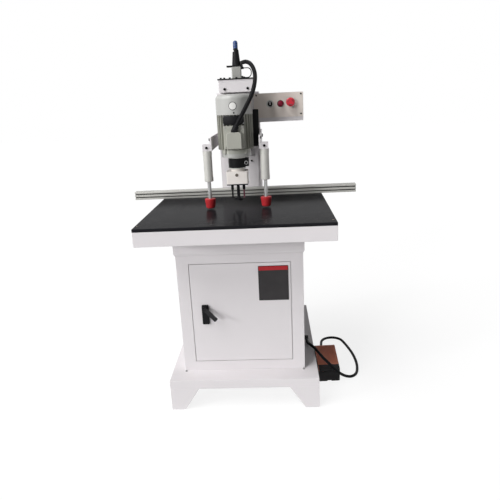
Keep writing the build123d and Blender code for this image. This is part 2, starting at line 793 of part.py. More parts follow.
# Over-arm with the upright way plate at its front
carriage_front = HEAD_Y + CARRIAGE_BACK
carriage_rear = carriage_front + CARRIAGE_T
way_front = carriage_rear + GUIDE_HEIGHT + GUIDE_TO_WAY
way_back = way_front + WAY_T
arm_half = ARM_WIDTH / 2
over_arm = block(-arm_half, arm_half, way_back, COLUMN_FRONT, ARM_BOTTOM, ARM_TOP)
over_arm -= block(
    -arm_half + ARM_WALL,
    arm_half - ARM_WALL,
    way_back,
    COLUMN_FRONT + 1,
    ARM_BOTTOM + ARM_WALL,
    ARM_TOP - ARM_WALL,
)
over_arm += block(-arm_half, arm_half, way_front, way_back, WAY_BOTTOM, ARM_TOP)
rib_profile = [(COLUMN_FRONT, ARM_BOTTOM), (way_back, ARM_BOTTOM), (way_back, WAY_BOTTOM + WAY_RIB_LIFT)]
rib = prism_x(rib_profile, -ARM_RIB_T / 2, ARM_RIB_T / 2)
over_arm += rib
save("over_arm", over_arm)


def rail(x):
    half = RAIL_WIDTH / 2
    y0 = way_front - RAIL_HEIGHT
    waist = [
        (x - half, way_front),
        (x - half, way_front - 5),
        (x - half + RAIL_GROOVE, way_front - 6.5),
        (x - half, way_front - 8),
        (x - half, y0),
        (x + half, y0),
        (x + half, way_front - 8),
        (x + half - RAIL_GROOVE, way_front - 6.5),
        (x + half, way_front - 5),
        (x + half, way_front),
    ]
    return prism_z(waist, WAY_BOTTOM + RAIL_GROOVE, ARM_TOP - RAIL_END)


save("linear_rails", rail(-RAIL_SPACING / 2), rail(RAIL_SPACING / 2))

# Top beam over the head, with the feed cylinder and its depth stop on it
beam_half = BEAM_WIDTH / 2
beam_back = BEAM_FRONT + BEAM_DEPTH
beam_skin = ARM_TOP + BEAM_HEIGHT
beam_top = beam_skin + BEAM_PLATE_T
feed_y = carriage_rear + FEED_BEHIND
beam_left = FEED_X - beam_half
beam_right = FEED_X + beam_half
beam = block(beam_left, beam_right, BEAM_FRONT, beam_back, ARM_TOP, beam_skin)
beam = fillet(upright_edges(beam), BEAM_ROUND)
beam -= post(FEED_X, feed_y, ARM_TOP - 1, beam_skin + 1, FEED_ROD_R + FEED_ROD_ROOM)
save("top_beam", beam)

out = BEAM_PLATE_OUT
beam_plate = block(beam_left - out, beam_right + out, BEAM_FRONT - out, beam_back, beam_skin, beam_top)
beam_plate = fillet(upright_edges(beam_plate), BEAM_ROUND)
beam_plate -= post(FEED_X, feed_y, beam_skin - 1, beam_top + 1, FEED_ROD_R + FEED_ROD_ROOM)

feed_half = FEED_SIZE / 2
feed_top = beam_top + FEED_HEIGHT
feed_left = FEED_X - feed_half
feed_right = FEED_X + feed_half
feed_body = block(feed_left, feed_right, feed_y - feed_half, feed_y + feed_half, beam_top, feed_top)
feed_body = fillet(upright_edges(feed_body), FEED_ROUND)
feed_body -= post(FEED_X, feed_y, beam_top + FEED_CAP, feed_top - FEED_CAP + FEED_END_ROOM, FEED_BORE_R)
feed_body -= post(FEED_X, feed_y, beam_top - 1, beam_top + FEED_CAP + 1, FEED_ROD_R + PISTON_FIT)
save("feed_cylinder", feed_body)

sleeve_base = feed_top + STOP_PLATE_T
sleeve_top = sleeve_base + SLEEVE_HEIGHT
plate_right = feed_right + STOP_PLATE_RIGHT
stop_plate = block(
    plate_right - STOP_PLATE_WIDTH,
    plate_right,
    feed_y - feed_half,
    feed_y + feed_half,
    feed_top,
    sleeve_base,
)
stop_plate = fillet(upright_edges(stop_plate), 3)
sleeve = Pos(FEED_X, feed_y, (sleeve_base + sleeve_top) / 2) * Cone(SLEEVE_R, SLEEVE_TOP_R, SLEEVE_HEIGHT)
sleeve -= post(FEED_X, feed_y, sleeve_base + SLEEVE_FLOOR, sleeve_top + 1, KNOB_STEM_R + RUNNING_FIT)
notch_x = FEED_X - SLEEVE_TOP_R + NOTCH_IN
notch_y = feed_y - SLEEVE_R
notch_z = sleeve_top - NOTCH_DEPTH
sleeve -= block(FEED_X - SLEEVE_R, notch_x, notch_y, feed_y + SLEEVE_R, notch_z, sleeve_top + 1)
save("depth_stop", beam_plate, stop_plate, sleeve)

knob_base = sleeve_top + KNOB_GAP
knob = post(FEED_X, feed_y, knob_base, knob_base + KNOB_HEIGHT, KNOB_R)
knob = fillet(knob.faces().sort_by(Axis.Z)[-1].edges(), KNOB_ROUND)
knob += post(FEED_X, feed_y, sleeve_base + KNOB_STEM_END, knob_base + 1, KNOB_STEM_R)
save("depth_knob", knob)

piston_top = feed_top - FEED_CAP
lug_top = CARRIAGE_TOP
feed_rod = post(FEED_X, feed_y, piston_top - PISTON_T, piston_top, FEED_BORE_R - PISTON_FIT)
feed_rod += post(FEED_X, feed_y, lug_top, piston_top - PISTON_T + 1, FEED_ROD_R)
save("feed_rod", feed_rod)

# Carriage: plate, four guide blocks on the rails and the lug under the feed rod
carriage_half = CARRIAGE_WIDTH / 2
carriage_left = FEED_X - carriage_half
carriage_right = FEED_X + carriage_half
step_z = CARRIAGE_BOTTOM + CARRIAGE_STEP
carriage = block(carriage_left, carriage_right, carriage_front, carriage_rear, step_z, CARRIAGE_TOP)
tongue_half = TONGUE_WIDTH / 2
carriage += block(-tongue_half, tongue_half, carriage_front, carriage_rear, CARRIAGE_BOTTOM, step_z)
carriage = fillet(carriage.edges().filter_by(Axis.Y), 3)

def guide(x, z):
    half = GUIDE_WIDTH / 2
    slot = RAIL_WIDTH / 2 + GUIDE_CLEAR
    body = block(x - half, x + half, carriage_rear, carriage_rear + GUIDE_HEIGHT, z, z + GUIDE_LENGTH)
    slot_y = way_front - RAIL_HEIGHT - GUIDE_CLEAR
    return body - block(x - slot, x + slot, slot_y, way_front, z - 1, z + GUIDE_LENGTH + 1)


guides = []
for guide_x in (-RAIL_SPACING / 2, RAIL_SPACING / 2):
    guides.append(guide(guide_x, CARRIAGE_BOTTOM + GUIDE_FROM_END))
    guides.append(guide(guide_x, CARRIAGE_TOP - GUIDE_FROM_END - GUIDE_LENGTH))
save("guide_blocks", *guides)

lug_left = FEED_X - LUG_WIDTH / 2
lug_right = FEED_X + LUG_WIDTH / 2
feed_lug = block(lug_left, lug_right, carriage_rear, way_front - LUG_TO_WAY, lug_top - LUG_HEIGHT, lug_top)
save("carriage_plate", carriage + feed_lug)

# Motor seat
seat_top = SEAT_BOTTOM + SEAT_T
seat = post(0, HEAD_Y, SEAT_BOTTOM, seat_top, SEAT_R)
seat += block(-SEAT_R + 2, SEAT_R - 2, HEAD_Y, carriage_front, SEAT_BOTTOM, seat_top)
seat -= post(0, HEAD_Y, SEAT_BOTTOM - 1, seat_top + 1, COLLAR_BORE_R)
save("motor_seat", seat)

# Motor: lower shield, finned frame, core, upper shield and fan cover
motor_bottom = seat_top + SHIELD_T
motor_top = motor_bottom + MOTOR_LENGTH
bearing_bore = SHAFT_R + RUNNING_FIT
shield = post(0, HEAD_Y, seat_top, motor_bottom, SEAT_R)
shield = fillet(shield.faces().sort_by(Axis.Z)[-1].edges(), 3)
for lug_angle in (45, 135, 225, 315):
    lug_x = (SEAT_R + 1) * cos(radians(lug_angle))
    lug_y = HEAD_Y + (SEAT_R + 1) * sin(radians(lug_angle))
    shield += post(lug_x, lug_y, seat_top, motor_bottom, SHIELD_LUG_R)
shield -= post(0, HEAD_Y, seat_top - 1, motor_bottom + 1, bearing_bore)

pad_front = BOX_FRONT + BOX_T
fins = Circle(FRAME_R)
for fin in range(FIN_COUNT):
    angle = (fin + 0.5) * 360.0 / FIN_COUNT
    fins += Rot(0, 0, angle) * Pos((MOTOR_R + FRAME_R - 2) / 2, 0) * Rectangle(MOTOR_R - FRAME_R + 2, FIN_T)
frame = Pos(0, HEAD_Y, motor_bottom) * extrude(fins, amount=MOTOR_LENGTH)
frame += block(-BOX_WIDTH / 2, BOX_WIDTH / 2, pad_front, HEAD_Y - 20, BOX_BOTTOM, BOX_BOTTOM + BOX_HEIGHT)
frame -= post(0, HEAD_Y, motor_bottom - 1, motor_top + 1, FRAME_BORE_R)
save("motor_frame", frame)

core_z0 = motor_bottom + (MOTOR_LENGTH - CORE_LENGTH) / 2
core = post(0, HEAD_Y, core_z0, core_z0 + CORE_LENGTH, FRAME_BORE_R)
core -= post(0, HEAD_Y, core_z0 - 1, core_z0 + CORE_LENGTH + 1, ROTOR_R + AIR_GAP)
save("motor_core", core)

upper_shield = post(0, HEAD_Y, motor_top, motor_top + TOP_SHIELD_T, FRAME_R)
upper_shield -= post(0, HEAD_Y, motor_top - 1, motor_top + TOP_SHIELD_T + 1, bearing_bore)
save("motor_end_shields", shield, upper_shield)

cover_end = motor_top + FAN_COVER_HEIGHT
fan_cover = post(0, HEAD_Y, motor_top, cover_end, FAN_COVER_R)
fan_cover = fillet(fan_cover.faces().sort_by(Axis.Z)[-1].edges(), FAN_COVER_ROUND)
hollow = post(0, HEAD_Y, motor_top - 1, cover_end - FAN_COVER_SHEET, FAN_COVER_R - FAN_COVER_SHEET)
hollow = fillet(hollow.faces().sort_by(Axis.Z)[-1].edges(), FAN_COVER_ROUND - FAN_COVER_SHEET)
fan_cover -= hollow
for ring_r, ring_n in zip(VENT_RING_R, VENT_COUNTS):
    for hole in range(ring_n):
        hole_x = ring_r * cos(2 * pi * hole / ring_n)
        hole_y = HEAD_Y + ring_r * sin(2 * pi * hole / ring_n)
        fan_cover -= post(hole_x, hole_y, cover_end - FAN_COVER_ROUND / 2, cover_end + 1, VENT_R)
save("fan_cover", fan_cover)

# Terminal box, lid and the leaning gland of the conduit
box_half = BOX_WIDTH / 2
terminal_box = block(-box_half, box_half, BOX_FRONT, pad_front, BOX_BOTTOM, BOX_BOTTOM + BOX_HEIGHT)
terminal_box = fillet(terminal_box.edges().filter_by(Axis.Y), 5)
lid_half = LID_WIDTH / 2
lid_front = BOX_FRONT - LID_T
lid_top = BOX_BOTTOM + LID_HEIGHT
lid = block(-lid_half, lid_half, lid_front, BOX_FRONT, BOX_BOTTOM, lid_top)
lid = fillet(lid.edges().filter_by(Axis.Y).sort_by(Axis.Z)[2:], LID_ROUND)
lid = fillet(lid.faces().sort_by(Axis.Y)[0].edges(), 3)
save("terminal_box", terminal_box, lid)

gland_y = BOX_FRONT - LID_T / 2
lean = radians(GLAND_LEAN)
neck_z = lid_top + GLAND_HEX_HEIGHT
gland = Pos(GLAND_X, gland_y, lid_top) * extrude(RegularPolygon(GLAND_R, 6), amount=GLAND_HEX_HEIGHT)
neck_plane = Plane(origin=(GLAND_X, gland_y, neck_z), z_dir=(sin(lean), 0, cos(lean)))
neck = neck_plane * Pos(0, 0, GLAND_NECK / 2 - 4) * Cylinder(GLAND_NECK_R, GLAND_NECK + 8)
room = GLAND_R * 4
neck -= block(-room, room, gland_y - room, gland_y + room, lid_top - room, neck_z - 3)
gland += neck
save("conduit_gland", gland)

# Rotor with its fan, turning with the centre spindle
hub_top = COLLAR_BOTTOM + HUB_RISE
fan_z0 = motor_top + TOP_SHIELD_T + FAN_LIFT
fan_z1 = fan_z0 + FAN_HEIGHT
rotor = post(0, HEAD_Y, hub_top, fan_z1 + 8, SHAFT_R)
rotor += post(0, HEAD_Y, core_z0, core_z0 + CORE_LENGTH, ROTOR_R)
rotor += post(0, HEAD_Y, fan_z0, fan_z1, FAN_HUB_R)
rotor += post(0, HEAD_Y, fan_z0, fan_z0 + FAN_SHEET, FAN_R)
for blade in range(FAN_BLADES):
    vane = Pos(0, HEAD_Y, 0) * Rot(0, 0, blade * 360.0 / FAN_BLADES)
    rotor += vane * block(SHAFT_R, FAN_R, -FAN_SHEET / 2, FAN_SHEET / 2, fan_z0, fan_z1)
save("motor_rotor", rotor)

# Clamp collar between the motor seat and the gear head
collar = post(0, HEAD_Y, COLLAR_BOTTOM, SEAT_BOTTOM, COLLAR_R)
collar = chamfer(collar.faces().sort_by(Axis.Z)[0].edges(), 1.5)
collar_mid = (COLLAR_BOTTOM + SEAT_BOTTOM) / 2
lug_out = COLLAR_R + COLLAR_LUG_OUT
lug_front = HEAD_Y - COLLAR_LUG_HALF
lug_back = HEAD_Y + COLLAR_LUG_HALF
lug_low = collar_mid - COLLAR_LUG_HEIGHT / 2
slit_front = HEAD_Y - COLLAR_SLIT / 2
slit_back = HEAD_Y + COLLAR_SLIT / 2
collar += block(COLLAR_BORE_R, lug_out, lug_front, lug_back, lug_low, lug_low + COLLAR_LUG_HEIGHT)
collar -= block(COLLAR_BORE_R / 2, lug_out + 1, slit_front, slit_back, COLLAR_BOTTOM - 1, SEAT_BOTTOM + 1)
collar -= post(0, HEAD_Y, COLLAR_BOTTOM - 1, SEAT_BOTTOM + 1, COLLAR_BORE_R)
save("clamp_collar", collar)

spigot = post(0, HEAD_Y, GEARBOX_TOP, COLLAR_BOTTOM, SPIGOT_R)
spigot -= post(0, HEAD_Y, GEARBOX_TOP - 1, COLLAR_BOTTOM + 1, COLLAR_BORE_R)

# Gear head: housing, bottom plate and six bearings
side_y = HEAD_Y - PATTERN_Y
spindle_places = ((0, HEAD_Y), (-PATTERN_X, side_y), (PATTERN_X, side_y))
centre_distance = sqrt(PATTERN_X**2 + PATTERN_Y**2)
gear_module = centre_distance / GEAR_TEETH
gear_tip_r = centre_distance / 2 + gear_module
housing_z0 = GEARBOX_BOTTOM + GEARBOX_PLATE
low_bearing = housing_z0 + BEARING_SET_IN
gear_z0 = low_bearing + BEARING_WIDTH + BEARING_TO_GEAR
gear_z1 = gear_z0 + GEAR_WIDTH
room_z0 = gear_z0 - GEAR_CLEAR
room_z1 = gear_z1 + GEAR_CLEAR
high_bearing = room_z1 + BEARING_SET_IN
gear_half = GEARBOX_WIDTH / 2
gear_front = HEAD_Y - GEARBOX_DEPTH / 2
gear_back = HEAD_Y + GEARBOX_DEPTH / 2
room_half = PATTERN_X + gear_tip_r + 1.0
housing = block(-gear_half, gear_half, gear_front, gear_back, housing_z0, GEARBOX_TOP)
housing = fillet(upright_edges(housing), GEARBOX_ROUND)
housing -= block(-room_half, room_half, side_y - gear_tip_r - 1, HEAD_Y + gear_tip_r + 1, room_z0, room_z1)
for place_x, place_y in spindle_places:
    housing -= post(place_x, place_y, housing_z0 - 1, room_z0 + 1, BEARING_R)
    housing -= post(place_x, place_y, room_z1 - 1, high_bearing + BEARING_WIDTH, BEARING_R)
housing -= post(0, HEAD_Y, room_z1, GEARBOX_TOP + 1, JOURNAL_R + 1)
save("gear_housing", housing + spigot)

plate = block(-gear_half, gear_half, gear_front, gear_back, GEARBOX_BOTTOM, housing_z0)
plate = fillet(upright_edges(plate), GEARBOX_ROUND)
for place_x, place_y in spindle_places:
    plate -= post(place_x, place_y, GEARBOX_BOTTOM - 1, housing_z0 + 1, CENTRE_SLEEVE_R + SLEEVE_CLEAR)
save("gear_plate", plate)

bearings = []
for place_x, place_y in spindle_places:
    for bearing_z in (low_bearing, high_bearing):
        race = post(place_x, place_y, bearing_z, bearing_z + BEARING_WIDTH, BEARING_R)
        race -= post(place_x, place_y, bearing_z - 1, bearing_z + BEARING_WIDTH + 1, JOURNAL_R + RUNNING_FIT)
        bearings.append(race)
save("spindle_bearings", *bearings)


def gear(x, y, phase):
    pitch_r = centre_distance / 2
    base_r = pitch_r * cos(radians(PRESSURE_ANGLE))
    root_r = pitch_r - 1.25 * gear_module
    half_thick = (pi * gear_module / 2 - GEAR_BACKLASH / 2) / 2 / pitch_r
    roll = tan(radians(PRESSURE_ANGLE)) - radians(PRESSURE_ANGLE)

    def flank(r):
        if r <= base_r:
            return half_thick + roll
        slant = acos(base_r / r)
        return half_thick + roll - (tan(slant) - slant)

    start_r = max(base_r, root_r)
    radii = [start_r + (gear_tip_r - start_r) * step / 4 for step in range(5)]
    points = []
    for tooth in range(GEAR_TEETH):
        middle = radians(phase) + 2 * pi * tooth / GEAR_TEETH
        rise = [(root_r, -flank(start_r))] + [(r, -flank(r)) for r in radii]
        fall = [(r, -a) for r, a in reversed(rise)]
        for r, a in rise + fall:
            points.append((x + r * cos(middle + a), y + r * sin(middle + a)))
    return prism_z(points, gear_z0, gear_z1)


def meshed_phase(x, y):
    towards = degrees(atan2(y - HEAD_Y, x))
    pitch = 360.0 / GEAR_TEETH
    ahead = round(towards / pitch) * pitch - towards
    return towards + 180.0 - ahead + pitch / 2


# Centre spindle with the coupling hub and the cup bit
spindle = post(0, HEAD_Y, housing_z0, COLLAR_BOTTOM, JOURNAL_R)
spindle += post(0, HEAD_Y, GEARBOX_TOP + HUB_CLEAR, hub_top, HUB_R)
spindle += gear(0, HEAD_Y, 0)
bit_top = CUP_BIT_TIP + CUP_BIT_LENGTH
spindle += post(0, HEAD_Y, bit_top, housing_z0, CENTRE_SLEEVE_R)
save("centre_spindle", spindle)

cup_r = CUP_BIT_D / 2
cup_face = CUP_BIT_TIP + CUP_BIT_POINT
cup_back = cup_face + CUP_BIT_HEAD
cup_bit = post(0, HEAD_Y, cup_face, cup_back, cup_r)
neck_mid = (cup_back + bit_top) / 2
cup_bit += Pos(0, HEAD_Y, neck_mid) * Cone(BEARING_R, CENTRE_SLEEVE_R, bit_top - cup_back)
gullet = block(0, cup_r + 1, HEAD_Y + 1.5, HEAD_Y + cup_r, cup_face - 1, cup_back + 1)
gullet += block(-cup_r - 1, 0, HEAD_Y - cup_r, HEAD_Y - 1.5, cup_face - 1, cup_back + 1)
gullet -= post(0, HEAD_Y, cup_face - 2, cup_back + 2, CENTRE_SLEEVE_R)
cup_bit -= gullet
cup_bit += Pos(0, HEAD_Y, (CUP_BIT_TIP + cup_face) / 2) * Cone(0.4, 3.0, cup_face - CUP_BIT_TIP)
spur = block(cup_r - 4, cup_r - 1.2, HEAD_Y - 3, HEAD_Y + 1.4, cup_face - 1.5, cup_face + 1)
cup_bit += spur
cup_bit += Pos(0, HEAD_Y, 0) * Rot(0, 0, 180) * Pos(0, -HEAD_Y, 0) * spur
save("cup_bit", cup_bit)


def side_spindle(x):
    body = post(x, side_y, housing_z0, high_bearing + BEARING_WIDTH, JOURNAL_R)
    body += gear(x, side_y, meshed_phase(x, side_y))
    return body + post(x, side_y, SIDE_SLEEVE_BOTTOM, housing_z0, SIDE_SLEEVE_R)


def dowel_bit(x):
    r = DOWEL_BIT_D / 2
    length = SIDE_SLEEVE_BOTTOM - DOWEL_BIT_TIP - DOWEL_BIT_POINT
    section = Circle(r)
    for side in (-1, 1):
        section -= Pos(side * r * 0.98, 0) * Circle(r * 0.55)
    twist = Solid.extrude_linear_with_rotation(section.face(), (0, 0, 0), (0, 0, length), 360.0)
    body = Pos(x, side_y, DOWEL_BIT_TIP + DOWEL_BIT_POINT) * Part(twist.wrapped)
    return body + Pos(x, side_y, DOWEL_BIT_TIP + 1) * Cone(0.3, 1.6, 2.4)


save("left_spindle", side_spindle(-PATTERN_X))
save("right_spindle", side_spindle(PATTERN_X))
save("left_dowel_bit", dowel_bit(-PATTERN_X))
save("right_dowel_bit", dowel_bit(PATTERN_X))

# Hold-down clamps, one each side of the gear head
clamp_top = CLAMP_ARM_BOTTOM
clamp_bottom = clamp_top - CLAMP_LENGTH
foot_bottom = TABLE_HEIGHT + FOOT_ABOVE_TABLE
foot_top = foot_bottom + FOOT_HEIGHT
block_out = CLAMP_X + CLAMP_CAP_R - CLAMP_BLOCK_IN
arm_out = column_half + CLAMP_ARM_T
arm_back = column_back - CLAMP_ARM_SHORT

arm = block(column_half, arm_out, CLAMP_ARM_FRONT, arm_back, CLAMP_ARM_BOTTOM, CLAMP_ARM_TOP)
arm = fillet(arm.edges().filter_by(Axis.X), 4)
arm += block(
    column_half,
    block_out,
    CLAMP_ARM_FRONT,
    CLAMP_ARM_FRONT + CLAMP_BLOCK_DEPTH,
    clamp_top,
    clamp_top + CLAMP_BLOCK_HEIGHT,
)
save("clamp_arms", arm, flipped(arm))

top_cap = post(0, 0, clamp_top - CLAMP_CAP, clamp_top, CLAMP_CAP_R)
low_cap = post(0, 0, clamp_bottom, clamp_bottom + CLAMP_CAP, CLAMP_CAP_R)
low_cap = chamfer(low_cap.faces().sort_by(Axis.Z)[0].edges(), CLAMP_CAP_EDGE)
low_cap -= post(0, 0, clamp_bottom - 1, clamp_bottom + CLAMP_CAP + 1, CLAMP_ROD_R + PISTON_FIT)
profile = Circle(CLAMP_BARREL_R) - Circle(CLAMP_BORE_R)
barrel_z0 = clamp_bottom + CLAMP_CAP
barrel_z1 = clamp_top - CLAMP_CAP
barrel = Pos(0, 0, barrel_z0) * extrude(profile, amount=barrel_z1 - barrel_z0)
right_place = Pos(CLAMP_X, CLAMP_Y, 0)
left_place = Pos(-CLAMP_X, CLAMP_Y, 0)
cylinders = []
for clamp_place in (left_place, right_place):
    cylinders.extend([clamp_place * top_cap, clamp_place * barrel, clamp_place * low_cap])
save("clamp_cylinders", *cylinders)

rod = post(0, 0, foot_top, barrel_z0 + 2, CLAMP_ROD_R)
piston_z0 = barrel_z0 + CLAMP_END_GAP
rod += post(0, 0, piston_z0, piston_z0 + PISTON_T, CLAMP_BORE_R - PISTON_FIT)
save("right_clamp_rod", right_place * rod)
save("left_clamp_rod", left_place * rod)

foot_side = Line((0, foot_bottom), (FOOT_LOW_R - FOOT_ROUND, foot_bottom))
foot_round = ThreePointArc(
    (FOOT_LOW_R - FOOT_ROUND, foot_bottom),
    (FOOT_LOW_R - FOOT_ROUND * 0.29, foot_bottom + FOOT_ROUND * 0.29),
    (FOOT_LOW_R, foot_bottom + FOOT_ROUND),
)
foot_wall = Polyline(
    (FOOT_LOW_R, foot_bottom + FOOT_ROUND),
    (FOOT_R, foot_top - FOOT_RIM - 2),
    (FOOT_R, foot_top - 2),
    (FOOT_R - 2, foot_top),
    (0, foot_top),
    (0, foot_bottom),
)
foot_outline = make_face([*foot_side.edges(), *foot_round.edges(), *foot_wall.edges()])
foot = revolve(Plane.XZ * foot_outline, axis=Axis.Z)
save("right_clamp_foot", right_place * foot)
save("left_clamp_foot", left_place * foot)

# Control box on the over-arm, its front panel and switches
control_right = CONTROL_LEFT + CONTROL_WIDTH
control_top = CONTROL_BOTTOM + CONTROL_HEIGHT
control_back = CONTROL_FRONT + CONTROL_DEPTH
panel_z0 = control_top - PANEL_HEIGHT
panel_front = CONTROL_FRONT - PANEL_T
s = CONTROL_SHEET
control_box = block(CONTROL_LEFT, control_right, CONTROL_FRONT, control_back, CONTROL_BOTTOM, control_top)
control_box = fillet(control_box.edges().filter_by(Axis.Y), CONTROL_ROUND)
control_box -= block(
    CONTROL_LEFT + s,
    control_right - s,
    CONTROL_FRONT + s,
    control_back - s,
    CONTROL_BOTTOM + s,
    control_top - s,
)
control_box -= block(
    CONTROL_LEFT + CONTROL_LAP,
    control_right - CONTROL_LAP,
    CONTROL_FRONT - 1,
    CONTROL_FRONT + s + 1,
    panel_z0 + CONTROL_LAP,
    control_top - CONTROL_LAP,
)
save("control_box", control_box)

panel_left = CONTROL_LEFT + PANEL_IN
panel_right = control_right - PANEL_IN
panel = block(panel_left, panel_right, panel_front, CONTROL_FRONT, panel_z0, control_top - PANEL_IN)
panel = fillet(panel.edges().filter_by(Axis.Y), CONTROL_ROUND)
switch_places = ((SELECTOR_X, SWITCH_Z), (LAMP_X, SWITCH_Z), (ESTOP_X, ESTOP_Z))
for switch_x, switch_z in switch_places:
    panel -= barrel_y(switch_x, switch_z, panel_front - 1, CONTROL_FRONT + 1, SWITCH_HOLE_R)
save("control_panel", panel)


def switch_body(x, z, r, proud):
    ring = barrel_y(x, z, panel_front - proud, panel_front, r)
    ring = chamfer(ring.faces().sort_by(Axis.Y)[0].edges(), 1)
    neck_end = CONTROL_FRONT + SWITCH_NECK
    neck = barrel_y(x, z, panel_front - 1, neck_end, SWITCH_HOLE_R)
    half_x = SWITCH_BLOCK_WIDTH / 2
    half_z = SWITCH_BLOCK_HEIGHT / 2
    back_block = block(x - half_x, x + half_x, neck_end, neck_end + SWITCH_BLOCK, z - half_z, z + half_z)
    return ring + neck + back_block


estop_collar_front = panel_front - ESTOP_COLLAR_PROUD
bezel_front = panel_front - BEZEL_PROUD
selector_body = switch_body(SELECTOR_X, SWITCH_Z, BEZEL_R, BEZEL_PROUD)
selector_body -= barrel_y(
    SELECTOR_X, SWITCH_Z, bezel_front - 1, CONTROL_FRONT + SWITCH_BORE, SELECTOR_STEM_R + RUNNING_FIT
)
lamp_body = switch_body(LAMP_X, SWITCH_Z, BEZEL_R, BEZEL_PROUD)
estop_body = switch_body(ESTOP_X, ESTOP_Z, ESTOP_COLLAR_R, ESTOP_COLLAR_PROUD)
estop_body -= barrel_y(
    ESTOP_X, ESTOP_Z, estop_collar_front - 1, CONTROL_FRONT + SWITCH_BORE, ESTOP_STEM_R + RUNNING_FIT
)
save("switch_bodies", selector_body, lamp_body, estop_body)

lens = barrel_y(LAMP_X, SWITCH_Z, bezel_front - LENS_PROUD, bezel_front, LENS_R)
lens = fillet(lens.faces().sort_by(Axis.Y)[0].edges(), LENS_ROUND)
save("lamp_lens", lens)

selector_face = bezel_front - SELECTOR_GAP
grip_half = SELECTOR_GRIP / 2
selector = barrel_y(SELECTOR_X, SWITCH_Z, selector_face - 5, selector_face, SELECTOR_R)
grip_reach = SELECTOR_R - 0.5
grip = block(-grip_half, grip_half, selector_face - 15, selector_face - 4, -grip_reach, grip_reach)
grip = fillet(grip.faces().sort_by(Axis.Y)[0].edges(), 2)
selector += Pos(SELECTOR_X, 0, SWITCH_Z) * grip
selector += barrel_y(SELECTOR_X, SWITCH_Z, selector_face - 1, CONTROL_FRONT + SELECTOR_STEM, SELECTOR_STEM_R)
save("selector_knob", selector)

estop_back = estop_collar_front - ESTOP_STAND_OFF
estop = barrel_y(ESTOP_X, ESTOP_Z, estop_back - ESTOP_HEAD, estop_back, ESTOP_R)
estop = fillet(estop.faces().sort_by(Axis.Y)[0].edges(), ESTOP_ROUND)
estop += barrel_y(ESTOP_X, ESTOP_Z, estop_back - 1, CONTROL_FRONT + ESTOP_STEM, ESTOP_STEM_R)
save("estop_button", estop)

# Foot valve: tub, treadle on an axle, valve body and hose port
pedal_place = Pos(PEDAL_X, PEDAL_Y, 0) * Rot(0, 0, PEDAL_TURN)
pedal_half = PEDAL_WIDTH / 2
w = PEDAL_WALL
tub = block(-pedal_half, pedal_half, 0, PEDAL_LENGTH, 0, PEDAL_WALL_HEIGHT)
tub = fillet(upright_edges(tub), PEDAL_ROUND)
tub -= block(-pedal_half + w, pedal_half - w, w, PEDAL_LENGTH - w, w, PEDAL_WALL_HEIGHT + 1)
tub -= barrel_y(0, 0, -1, w + 1, PEDAL_NOTCH_R)
axle = barrel_x(PEDAL_AXLE_BACK, PEDAL_AXLE_Z, -pedal_half + w, pedal_half - w, PEDAL_AXLE_R)

slope = radians(TREADLE_SLOPE)
treadle_end = 4.0 + TREADLE_LENGTH * cos(slope)
end_z = TREADLE_FRONT_Z + TREADLE_LENGTH * sin(slope)
treadle = prism_x(
    [
        (2, TREADLE_FRONT_Z - 12),
        (2, TREADLE_FRONT_Z - 3),
        (5, TREADLE_FRONT_Z),
        (treadle_end, end_z),
        (treadle_end + 12, end_z - 1),
        (treadle_end + 16, end_z - 12),
        (treadle_end + 10, end_z - 10),
        (treadle_end + 2, end_z - TREADLE_T),
        (10, TREADLE_FRONT_Z - TREADLE_T + 1),
        (8, TREADLE_FRONT_Z - 12),
    ],
    -TREADLE_WIDTH / 2,
    TREADLE_WIDTH / 2,
)
ear_y0 = PEDAL_AXLE_BACK - TREADLE_EAR_R
ear_y1 = PEDAL_AXLE_BACK + TREADLE_EAR_R
for ear_x in (-TREADLE_EAR_X, TREADLE_EAR_X):
    ear_x0 = ear_x - TREADLE_EAR_T / 2
    ear_x1 = ear_x + TREADLE_EAR_T / 2
    treadle += block(ear_x0, ear_x1, ear_y0, ear_y1, PEDAL_AXLE_Z, TREADLE_FRONT_Z - 2)
    treadle += barrel_x(PEDAL_AXLE_BACK, PEDAL_AXLE_Z, ear_x0, ear_x1, TREADLE_EAR_R)
treadle -= barrel_x(PEDAL_AXLE_BACK, PEDAL_AXLE_Z, -TREADLE_WIDTH, TREADLE_WIDTH, PEDAL_AXLE_R + RUNNING_FIT)
save("treadle", pedal_place * treadle)

valve_half = VALVE_WIDTH / 2
valve_back = PEDAL_LENGTH - w
valve_front = valve_back - VALVE_LENGTH
valve = block(-valve_half, valve_half, valve_front, valve_back, w, PEDAL_WALL_HEIGHT + VALVE_RISE)
valve += post(0, valve_front + PLUNGER_IN, PEDAL_WALL_HEIGHT, PLUNGER_TOP, PLUNGER_R)
port = barrel_y(PORT_ACROSS, PORT_Z, PEDAL_LENGTH, PEDAL_LENGTH + PORT_LENGTH, PORT_R)
save("pedal_base", pedal_place * tub, pedal_place * axle, pedal_place * valve, pedal_place * port)

# Elbow on the right side of the cabinet that the pedal hose leaves
outlet_x = cabinet_half + OUTLET_STAND_OFF
outlet_y = CABINET_FRONT + OUTLET_BACK
outlet_z = PLINTH_HEIGHT + OUTLET_LIFT
outlet = barrel_x(outlet_y, outlet_z, cabinet_half, outlet_x + OUTLET_R, OUTLET_R)
outlet += barrel_y(outlet_x, outlet_z, outlet_y - OUTLET_REACH, outlet_y, OUTLET_R)

# Pedal hose: over the plinth, across the front of the treadle, round a loop on the floor
turn = radians(PEDAL_TURN)


def from_pedal(across, back, z):
    x = PEDAL_X + across * cos(turn) - back * sin(turn)
    y = PEDAL_Y + across * sin(turn) + back * cos(turn)
    return (x, y, z)


